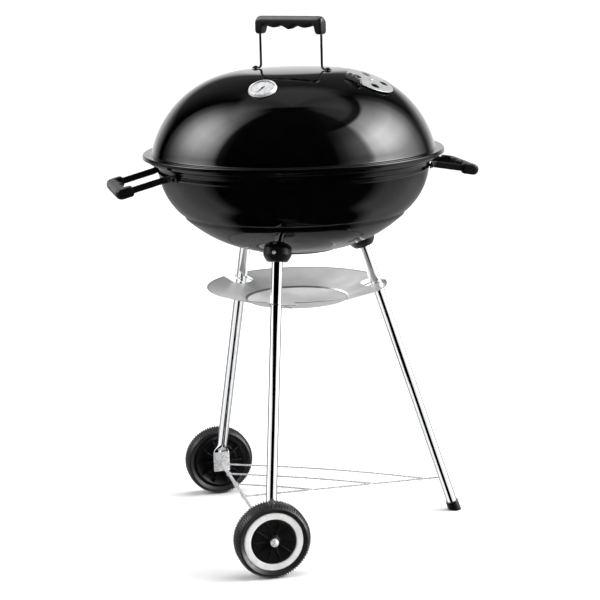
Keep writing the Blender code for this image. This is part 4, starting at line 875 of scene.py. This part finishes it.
def build_leg(name):
    """A tube: the front one runs into its cap, a wheel leg's lower end is flattened on the axle."""
    up = leg_frame(name).col[2].to_3d()
    top = leg_frame(name).translation - up * (0.0035 + GAP)
    outer = [leg_ring(top, up, LEG_R, LEG_R)]
    if name == "front":
        end = leg_point(name, LEG_END_Z)
        outer.append(leg_ring(end, up, LEG_R, LEG_R))
        deep = end + up * 0.003
    else:
        # height over the axle, and how flat the tube is there
        for dz, flat in ((0.048, 0), (0.044, 0.12), (0.04, 0.26), (0.035, 0.46), (0.03, 0.68),
                         (0.025, 0.86), (0.02, 0.96), (0.0165, 1.0), (-0.0145, 1.0), (-0.016, 0.97)):
            axis = leg_point(name, AXLE_Z + dz)
            plate = Vector((AXLE_X, LEGS[name] * PLATE_Y, AXLE_Z + dz))
            ease = flat * flat * (3 - 2 * flat)
            outer.append(leg_ring(axis.lerp(plate, ease), up.lerp(Vector((0, 0, 1)), ease),
                                  LEG_R + (0.0165 - LEG_R) * ease, LEG_R + (0.002 - LEG_R) * ease,
                                  1.0 + (0.35 - 1.0) * ease))
        deep = leg_point(name, AXLE_Z + 0.051)
    thin = LEG_R - LEG_WALL
    inner = [leg_ring(deep, up, thin, thin), leg_ring(top, up, thin, thin)]
    tube = join([loft(rings, caps=False) for rings in (outer, inner, [inner[-1], outer[0]])])
    for row in (outer[-1], inner[0]):
        fan(tube, [tube.verts.new(p) for p in row])
    if name != "front":
        bmesh.ops.remove_doubles(tube, verts=tube.verts, dist=1e-6)
        hole = frame_matrix((AXLE_X, LEGS[name] * PLATE_Y, AXLE_Z), (0, 1, 0), (0, 0, 1))
        tube = cut(tube, [moved(rod(AXLE_R + 0.0004, -0.02, 0.02), hole)])
    leg = piece("leg_tube_" + name, tube, CHROME, "stand", ["leg_" + name], 50)
    leg.data.materials.append(BRIGHT)           # the flattened end is duller than the tube
    for face in leg.data.polygons:
        face.material_index = int(name != "front" and face.center.z < AXLE_Z + 0.024)


def build_foot_cap():
    up = -leg_axis("front")[1].normalized()
    base = leg_point("front", 0.0)
    at = frame_matrix(base, up, (1, 0, 0))
    bore = LEG_R + GAP
    deep = (leg_point("front", LEG_END_Z) - up * GAP - base).length
    rings = []
    for radius, lift in ((0.006, 0.0), (0.0116, 0.0), (0.0124, 0.0004), (0.0128, 0.0012), (0.0128, 0.003)):
        rings.append([p - up * ((p.z - lift) / up.z) for p in hoop(at, radius, 0.004)])
    for radius, height in ((0.0127, 0.01), (0.0125, 0.0187), (0.0123, 0.0194), (0.0119, 0.0198),
                           (0.0112, 0.0198), (bore, 0.0196), (bore, deep)):
        rings.append(hoop(at, radius, height))
    piece("foot_boot", loft(rings), PLASTIC, "stand", ["foot_cap"], 50)


# ---------------- wheels and axle
WHEEL_R, Y_IN, Y_OUT, RIM_R, TRIM_IN = 0.07, 0.24, 0.279, 0.055, 0.0423
AXLE_END = Y_OUT + 0.005
BLOCKS = 84                                     # tread blocks round a tyre


def build_tyre(face, name):
    """A tyre with fine crosswise tread blocks, round shoulders and a groove round its middle."""
    section = [(RIM_R + GAP, Y_IN + 0.005), (RIM_R + 0.003, Y_IN + 0.002), (RIM_R + 0.006, Y_IN + 0.0008),
               (WHEEL_R - 0.008, Y_IN), (WHEEL_R - 0.0056, Y_IN + 0.0006), (WHEEL_R - 0.0036, Y_IN + 0.002),
               (WHEEL_R - 0.0018, Y_IN + 0.0038), (WHEEL_R - 0.0006, Y_IN + 0.0058),
               (WHEEL_R, Y_IN + 0.008)]
    tread = [(WHEEL_R, Y_IN + 0.008 + (Y_OUT - Y_IN - 0.016) * i / 6) for i in range(1, 6)]
    outside = [(r, Y_IN + Y_OUT - y) for r, y in reversed(section)]
    outside[-1] = (RIM_R + GAP, Y_OUT - 0.003)
    profile = section + tread + outside
    middle = len(section) + 3
    bm = bmesh.new()
    rings = []
    for k, angle in enumerate(circle(BLOCKS * 4)):
        groove = 0.0028 if k % 4 in (2, 3) else 0.0
        ring = []
        for i, (r, y) in enumerate(profile):
            depth = groove if r > WHEEL_R - 0.004 else 0.0
            if i == middle:
                depth = 0.0009
            ring.append(bm.verts.new(((r - depth) * cos(angle), (r - depth) * sin(angle), y)))
        rings.append(ring)
    count = len(profile)
    for a, b in zip(rings, rings[1:] + rings[:1]):
        for i in range(count):
            j = (i + 1) % count
            bm.faces.new((a[i], b[i], b[j], a[j]))
    piece("tyre_" + name, moved(bm, face), TYRE, "wheel_" + name, ["wheel_tyre_" + name], 32)


def build_wheel(side, name):
    face = frame_matrix((AXLE_X, 0, AXLE_Z), (0, side, 0), (0, 0, -1))
    build_tyre(face, name)
    y0, y1 = Y_IN, Y_OUT
    bore, ring_in = AXLE_R + 0.0005, TRIM_IN - GAP
    section = [(bore, y0 - 0.004), (0.0095, y0 - 0.004), (0.011, y0 + 0.008), (0.03, y0 + 0.01),
               (0.032, y0 + 0.007), (0.0345, y0 + 0.007), (0.0365, y0 + 0.01), (0.044, y0 + 0.0085),
               (0.049, y0 + 0.003), (RIM_R, y0 + 0.004), (RIM_R, y1 - 0.0075), (ring_in, y1 - 0.0075),
               (ring_in, y1 - 0.004), (0.039, y1 - 0.0032), (0.012, y1 - 0.006), (0.01, y1), (bore, y1)]
    parts = [turned(rounded(section, 0.001, 3, closed=True), 120, closed=True)]
    inside = [(0.01, y0 + 0.0004), (0.044, y0 + 0.003), (0.0475, y0 + 0.005),
              (0.047, y0 + 0.011), (0.01, y0 + 0.011)]
    outside = [(0.011, y1 - 0.0064), (0.0115, y1 - 0.0046), (0.0385, y1 - 0.002),
               (0.04, y1 - 0.004), (0.03, y1 - 0.007)]
    upright = frame_matrix((0, 0, 0), (0, -1, 0), (1, 0, 0))
    for i in range(10):
        for outline, half in ((inside, 0.0013), (outside, 0.0009)):
            rib = bevel_rim(extruded(outline, -half, half), 0.0004, 2)
            parts.append(moved(rib, spin(2 * pi * (i + 0.5) / 10) @ upright))
    piece("hub_" + name, moved(join(parts), face), HUB, "wheel_" + name, ["wheel_hub_" + name],
          40)
    trim = [(TRIM_IN, y1 - 0.007), (RIM_R - GAP, y1 - 0.007), (RIM_R - GAP, y1 - 0.0036),
            (RIM_R - 0.0022, y1 - 0.0026), (TRIM_IN + 0.0022, y1 - 0.0026), (TRIM_IN, y1 - 0.0036)]
    piece("trim_" + name, moved(turned(rounded(trim, 0.001, 3, closed=True), 120, closed=True), face), WHITE,
          "wheel_" + name, ["wheel_ring_" + name], 40)
    inner = y1 + 0.0004
    cap = [(0, inner + 0.009), (0.003, inner + 0.0086), (0.0056, inner + 0.007), (0.0074, inner + 0.004),
           (0.0078, inner + 0.0012), (0.0078, inner), (AXLE_R + GAP, inner), (AXLE_R + GAP, AXLE_END + GAP),
           (0, AXLE_END + GAP)]
    flip = frame_matrix((AXLE_X, 0, AXLE_Z), (0, side, 0), (0, 0, 1))
    piece("cap_nut_" + name, moved(turned(rounded(cap, 0.0012, 4), 48), flip), BRIGHT, "stand",
          ["axle_nut_" + name])


def build_axle():
    profile = rounded([(0, -AXLE_END), (AXLE_R, -AXLE_END), (AXLE_R, AXLE_END), (0, AXLE_END)], 0.0005)
    at = frame_matrix((AXLE_X, 0, AXLE_Z), (0, 1, 0), (0, 0, 1))
    piece("axle", moved(turned(profile, 40), at), BRIGHT, "stand", ["axle_rod"])


# ---------------- shelf, tray, clips, grates
SHELF_R = 0.0018
EYE_R = AXLE_R + 0.0004      # bore of the wires' eyes round the axle


def build_shelf():
    """A centre wire and three nested V wires, all hooked on the axle."""
    start = AXLE_X + EYE_R + SHELF_R
    parts = [wire([(start, 0, AXLE_Z), (leg_point("front", AXLE_Z).x - LEG_R + 0.0045, 0, AXLE_Z)], SHELF_R)]
    ends = [0.0]
    for tip, spread, bulge in ((0.251, 0.219, 0.016), (0.144, 0.15, 0.007), (0.022, 0.079, 0.002)):
        half = []
        for i in range(1, 20):
            t = i / 20
            out = bulge * sin(pi * t)
            half.append((tip + (start - tip) * t + out * 0.6, spread * t ** 0.94 + out * 0.5))
        half.append((start, spread))
        run = [(x, y, AXLE_Z) for x, y in reversed(half)] + [(tip, 0, AXLE_Z + 0.001)]
        parts.append(wire(run + [(x, -y, AXLE_Z) for x, y in half], SHELF_R))
        ends += [spread, -spread]
    for y in ends:
        parts.append(moved(ring_wire(EYE_R + 0.0008, 0.0008, 0.0, 32, 12),
                           frame_matrix((AXLE_X, y, AXLE_Z), (0, 1, 0), (0, 0, 1))))
    piece("shelf_wires", join(parts), BRIGHT, "stand", ["wire_shelf"], 60)


TRAY_SHEET = 0.0012
TRAY_RIM, TRAY_INNER, TRAY_PAN = (0.1726, 0.4855), (0.099, 0.4612), (0.0962, 0.4585)   # radius, height


def leg_turn(name, z):
    """How far round the grill a leg is at a height."""
    p = leg_point(name, z)
    return atan2(p.y, p.x)


def build_tray():
    upper = rounded([(0, TRAY_PAN[1]), TRAY_PAN, TRAY_INNER, TRAY_RIM], 0.0014, 5)
    under = offset(upper, -TRAY_SHEET)
    under[0] = (0, TRAY_PAN[1] - TRAY_SHEET)
    shape = turned(upper + list(reversed(under)), 192)
    notch_in, half_notch, corner = 0.134, 0.026, 0.014
    half = arc((notch_in + corner, half_notch - corner), corner, pi / 2, pi, 12)
    outline = [(0.19, half_notch)] + half + [(x, -y) for x, y in reversed(half)] + [(0.19, -half_notch)]
    notches = [moved(extruded(outline, 0.44, 0.5), spin(leg_turn(name, TRAY_RIM[1]) + radians(4)))
               for name in LEGS]
    piece("ash_pan", cut(shape, notches), ALUMINIUM, "ash_tray", ["ash_tray"], 35)


def build_clip(name):
    """A wire bent round the outside of a leg, its two ends under the tray's cone."""
    slope = (TRAY_RIM[1] - TRAY_INNER[1]) / (TRAY_RIM[0] - TRAY_INNER[0])
    r = 0.001
    height = TRAY_RIM[1] - 0.008
    p = leg_point(name, height)
    back = hypot(p.x, p.y) + 0.0002
    loop = LEG_R + 0.0004 + r + 0.0006

    def lifted(radius, y):
        return (radius, y, TRAY_RIM[1] - (TRAY_RIM[0] - radius) * slope - TRAY_SHEET - r - 0.0009)

    arm = rounded([lifted(0.115, loop + 0.0055), lifted(0.119, loop + 0.0008), lifted(0.127, loop)],
                  0.003, 4)
    bend = [lifted(back + loop * sin(a) * 1.05, loop * cos(a)) for a in (pi * k / 28 for k in range(29))]
    points = arm + bend + [(x, -y, z) for x, y, z in reversed(arm)]
    piece("clip_wire_" + name, moved(wire(points, r), spin(leg_turn(name, height))), ZINC, "stand",
          ["tray_clip_" + name], 60)


COOK_R, COOK_Z = 0.256, 0.7259


def build_grate(name, node, ring_r, z, bars, bar, cross):
    """A ring with bars across it and two bars under them."""
    parts = [ring_wire(ring_r, 0.003, z)]
    pitch = 2 * ring_r / (bars + 1)
    for i in range(bars):
        x = -ring_r + pitch * (i + 1)
        reach = sqrt(ring_r ** 2 - x * x) - 0.0008
        parts.append(wire([(x, -reach, z + 0.0003), (x, reach, z + 0.0003)], bar))
    low = z - 2 * bar + 0.0011
    reach = sqrt(ring_r ** 2 - cross ** 2) - 0.005
    for y in (-cross, cross):
        parts.append(wire([(-reach, y, low), (reach, y, low)], bar))
    piece(name, join(parts), BRIGHT, node, [node], 60)


def build_grate_handle(sign, name):
    """A bent loop that stands on the cooking grate's ring."""
    half, wire_r, inset, dip = 0.032, 0.0022, 0.012, 0.003
    foot_y, top_y = sign * sqrt(COOK_R ** 2 - half ** 2), sign * (COOK_R - inset)
    foot_z, top_z = COOK_Z + 0.003 + GAP, COOK_Z + 0.016
    start_y = foot_y + sign * dip * inset / (top_z - foot_z)
    run = [(-half, start_y, foot_z - dip), (-half, top_y, top_z), (half, top_y, top_z),
           (half, start_y, foot_z - dip)]
    loop = wire(rounded(run, 0.006, 6), wire_r)
    below = extruded([(-0.1, foot_y - 0.03), (0.1, foot_y - 0.03), (0.1, foot_y + 0.03),
                      (-0.1, foot_y + 0.03)], foot_z - 0.03, foot_z)
    piece(name, cut(loop, [below]), BRIGHT, "cooking_grate", [name.replace("loop", "handle")], 60)


# ---------------- studio
VIEW_AZ = radians(12.86)
VIEW = spin(-VIEW_AZ)                           # turns the camera's own axes to the grill's
LENS_MM = 107.9724
CARD_SIZE, CARD_LEVEL = (2.7, 3.4), 1.0         # the white cards that only the chromed tubes see


def build_camera():
    yaw, pitch, roll = 0.00151, 0.20853, -0.026
    forward = Vector((sin(yaw) * cos(pitch), cos(yaw) * cos(pitch), -sin(pitch)))
    right = Vector((cos(yaw), -sin(yaw), 0))
    up = right.cross(forward)
    right, up = cos(roll) * right + sin(roll) * up, -sin(roll) * right + cos(roll) * up
    spot = Vector((0, -3.38912, 1.17061))
    back = -forward
    matrix = Matrix(((right.x, up.x, back.x, spot.x), (right.y, up.y, back.y, spot.y),
                     (right.z, up.z, back.z, spot.z), (0, 0, 0, 1)))
    data = bpy.data.cameras.new("camera")
    data.sensor_width = 36
    data.lens = LENS_MM
    data.clip_end = 100
    camera = linked(data, "camera")
    camera.matrix_world = VIEW @ matrix
    bpy.context.scene.camera = camera


def build_floor():
    half = 30
    mesh = bpy.data.meshes.new("floor")
    mesh.from_pydata([(-half, -half, 0), (half, -half, 0), (half, half, 0), (-half, half, 0)], [],
                     [(0, 1, 2, 3)])
    mesh.materials.append(Shader("studio_floor", (0.9, 0.9, 0.9), 0.9, Specular_IOR_Level=0.0).material)
    floor = linked(mesh, "floor")
    floor.visible_glossy = False


def build_light(name, at, size, power, look_at=(0, 0, 0.4), only=None):
    """An area light; one that lights only some pieces also shows in their gloss."""
    data = bpy.data.lights.new(name, "AREA")
    data.shape = "RECTANGLE"
    data.size, data.size_y = size
    data.energy = power
    light = linked(data, name)
    spot = VIEW @ Vector(at)
    light.location = spot
    light.rotation_euler = (Vector(look_at) - spot).to_track_quat("-Z", "Y").to_euler()
    light.visible_camera = False
    light.visible_glossy = only is not None
    if only:
        group = bpy.data.collections.new(name + "_receivers")
        for obj in only:
            group.objects.link(obj)
        light.light_linking.receiver_collection = group


SOFTBOXES = {
    # side: (strength, falloff by degrees round from the camera's side, falloff by degrees of height)
    "left": (8.4, [(58, 0.0), (66, 0.02), (72, 0.45), (82, 0.82), (95, 1.0), (105, 0.8), (115, 0.4),
                   (125, 0.1), (133, 0.0)],
             [(-7, 0.0), (5, 0.09), (15, 0.37), (25, 0.8), (35, 1.0), (45, 0.77),
              (55, 0.33), (65, 0.15), (75, 0.03), (80, 0.0)]),
    "right": (14.0, [(36, 0.0), (45, 0.03), (55, 0.09), (65, 0.15), (68, 0.3), (72, 0.75), (80, 0.9),
                     (85, 1.0), (95, 0.9), (105, 0.65), (115, 0.42), (125, 0.18), (135, 0.03), (142, 0.0)],
              [(-11, 0.0), (-4, 0.08), (5, 0.28), (15, 0.45), (25, 0.92), (35, 1.0), (45, 0.5),
               (52, 0.34), (54, 0.012), (57, 0.012), (60, 0.04), (75, 0.03), (84, 0.0)]),
}


def build_world():
    """A painted studio: dark in front, a softbox on each side, pale low down behind and overhead."""
    world = bpy.data.worlds.new("studio")
    bpy.context.scene.world = world
    world.use_nodes = True
    world.node_tree.nodes.clear()
    w = Nodes(world.node_tree)
    direction = w.node("ShaderNodeTexCoord").outputs["Generated"]
    turn = w.node("ShaderNodeVectorRotate", {"Vector": direction, "Angle": VIEW_AZ}, rotation_type="Z_AXIS")
    split = w.node("ShaderNodeSeparateXYZ", {"Vector": turn.outputs["Vector"]})
    x, y, z = split.outputs
    around = w.math("DIVIDE", w.math("ARCTAN2", w.math("ABSOLUTE", x), w.math("MULTIPLY", y, -1.0)), pi)
    height = w.math("ADD", w.math("DIVIDE", w.math("ARCSINE", z), pi), 0.5)
    on_right = w.math("GREATER_THAN", x, 0.0)

    def patch(azimuths, heights):
        return w.math("MULTIPLY", w.ramp(around, [(a / 180, v) for a, v in azimuths]),
                      w.ramp(height, [(0.5 + a / 180, v) for a, v in heights]))

    parts = []
    for side, (strength, azimuths, heights) in SOFTBOXES.items():
        here = on_right if side == "right" else w.math("SUBTRACT", 1.0, on_right)
        parts.append(w.math("MULTIPLY", w.math("MULTIPLY", patch(azimuths, heights), here), strength))
    behind = patch([(138, 0.0), (156, 1.0)],
                   [(-14, 0.05), (-9, 0.3), (-4, 1.0), (8, 0.9), (18, 0.1), (52, 0.08),
                    (62, 0.45), (82, 0.5)])
    over = patch([(90, 0.0), (106, 0.35), (138, 0.35), (156, 0.0)], [(58, 0.0), (63, 1.0), (86, 1.0)])
    low = patch([(70, 0.0), (88, 0.55), (128, 0.55), (150, 0.3)],
                [(-60, 0.0), (-50, 1.0), (-20, 1.0), (-8, 0.5), (4, 0.0)])
    total = parts[0]
    for value in (parts[1], behind, over, low):
        total = w.math("ADD", total, value)
    white = {"Color": (1, 1, 1, 1)}
    studio = w.node("ShaderNodeBackground", {**white, "Strength": total})
    plain = w.node("ShaderNodeBackground", {**white, "Strength": 1.0})
    seen = w.node("ShaderNodeLightPath").outputs["Is Camera Ray"]
    mix = w.node("ShaderNodeMixShader", {"Fac": seen, 1: studio.outputs["Background"],
                                         2: plain.outputs["Background"]})
    w.node("ShaderNodeOutputWorld", {"Surface": mix.outputs["Shader"]})


def wearing(*materials):
    """The visual pieces made of any of these materials."""
    return [o for o in bpy.data.objects if o.type == "MESH"
            and any(m.name in o.data.materials for m in materials)]


def build_studio():
    build_camera()
    build_floor()
    build_world()
    build_light("overhead", (0.5, 0.3, 3.4), (2.4, 2.4), 108)
    build_light("sheen", (-0.6, 0.6, 3.2), (2.4, 2.4), 45, only=wearing(PLASTIC, TYRE))
    build_light("tray_light", (-1.6, 1.9, 1.7), (1.2, 1.2), 150, only=wearing(ALUMINIUM))
    build_light("tread_light", (-2.0, -1.2, 1.6), (1.0, 1.0), 45, only=wearing(TYRE))
    build_light("tyre_edge_light", (1.6, -1.3, 0.15), (0.8, 0.8), 40, (0, 0, 0.1), wearing(TYRE))
    for name, side in (("card_left", -1), ("card_right", 1)):
        spot = (side * 2.2 * sin(radians(60)), -2.2 * cos(radians(60)), -0.85)
        power = pi * CARD_SIZE[0] * CARD_SIZE[1] * CARD_LEVEL
        build_light(name, spot, CARD_SIZE, power, (0, 0, -0.85), wearing(CHROME))
    scene = bpy.context.scene
    scene.view_settings.view_transform = "Standard"
    scene.view_settings.look = "None"
    scene.cycles.use_denoising = True


# ---------------- assembly
build_lid()
build_vent()
build_thermometer()
build_side_handle(1, "front")
build_side_handle(-1, "back")
build_lid_handle()
build_bowl()
build_damper()
for leg in LEGS:
    build_socket(leg)
    build_leg(leg)
    build_clip(leg)
build_foot_cap()
build_wheel(1, "left")
build_wheel(-1, "right")
build_axle()
build_shelf()
build_tray()
build_grate("food_grate", "cooking_grate", COOK_R, COOK_Z, 17, 0.0022, 0.115)
build_grate_handle(1, "grate_loop_left")
build_grate_handle(-1, "grate_loop_right")
build_grate("coal_grate", "charcoal_grate", 0.2112, 0.6358, 11, 0.0026, 0.09)
build_studio()
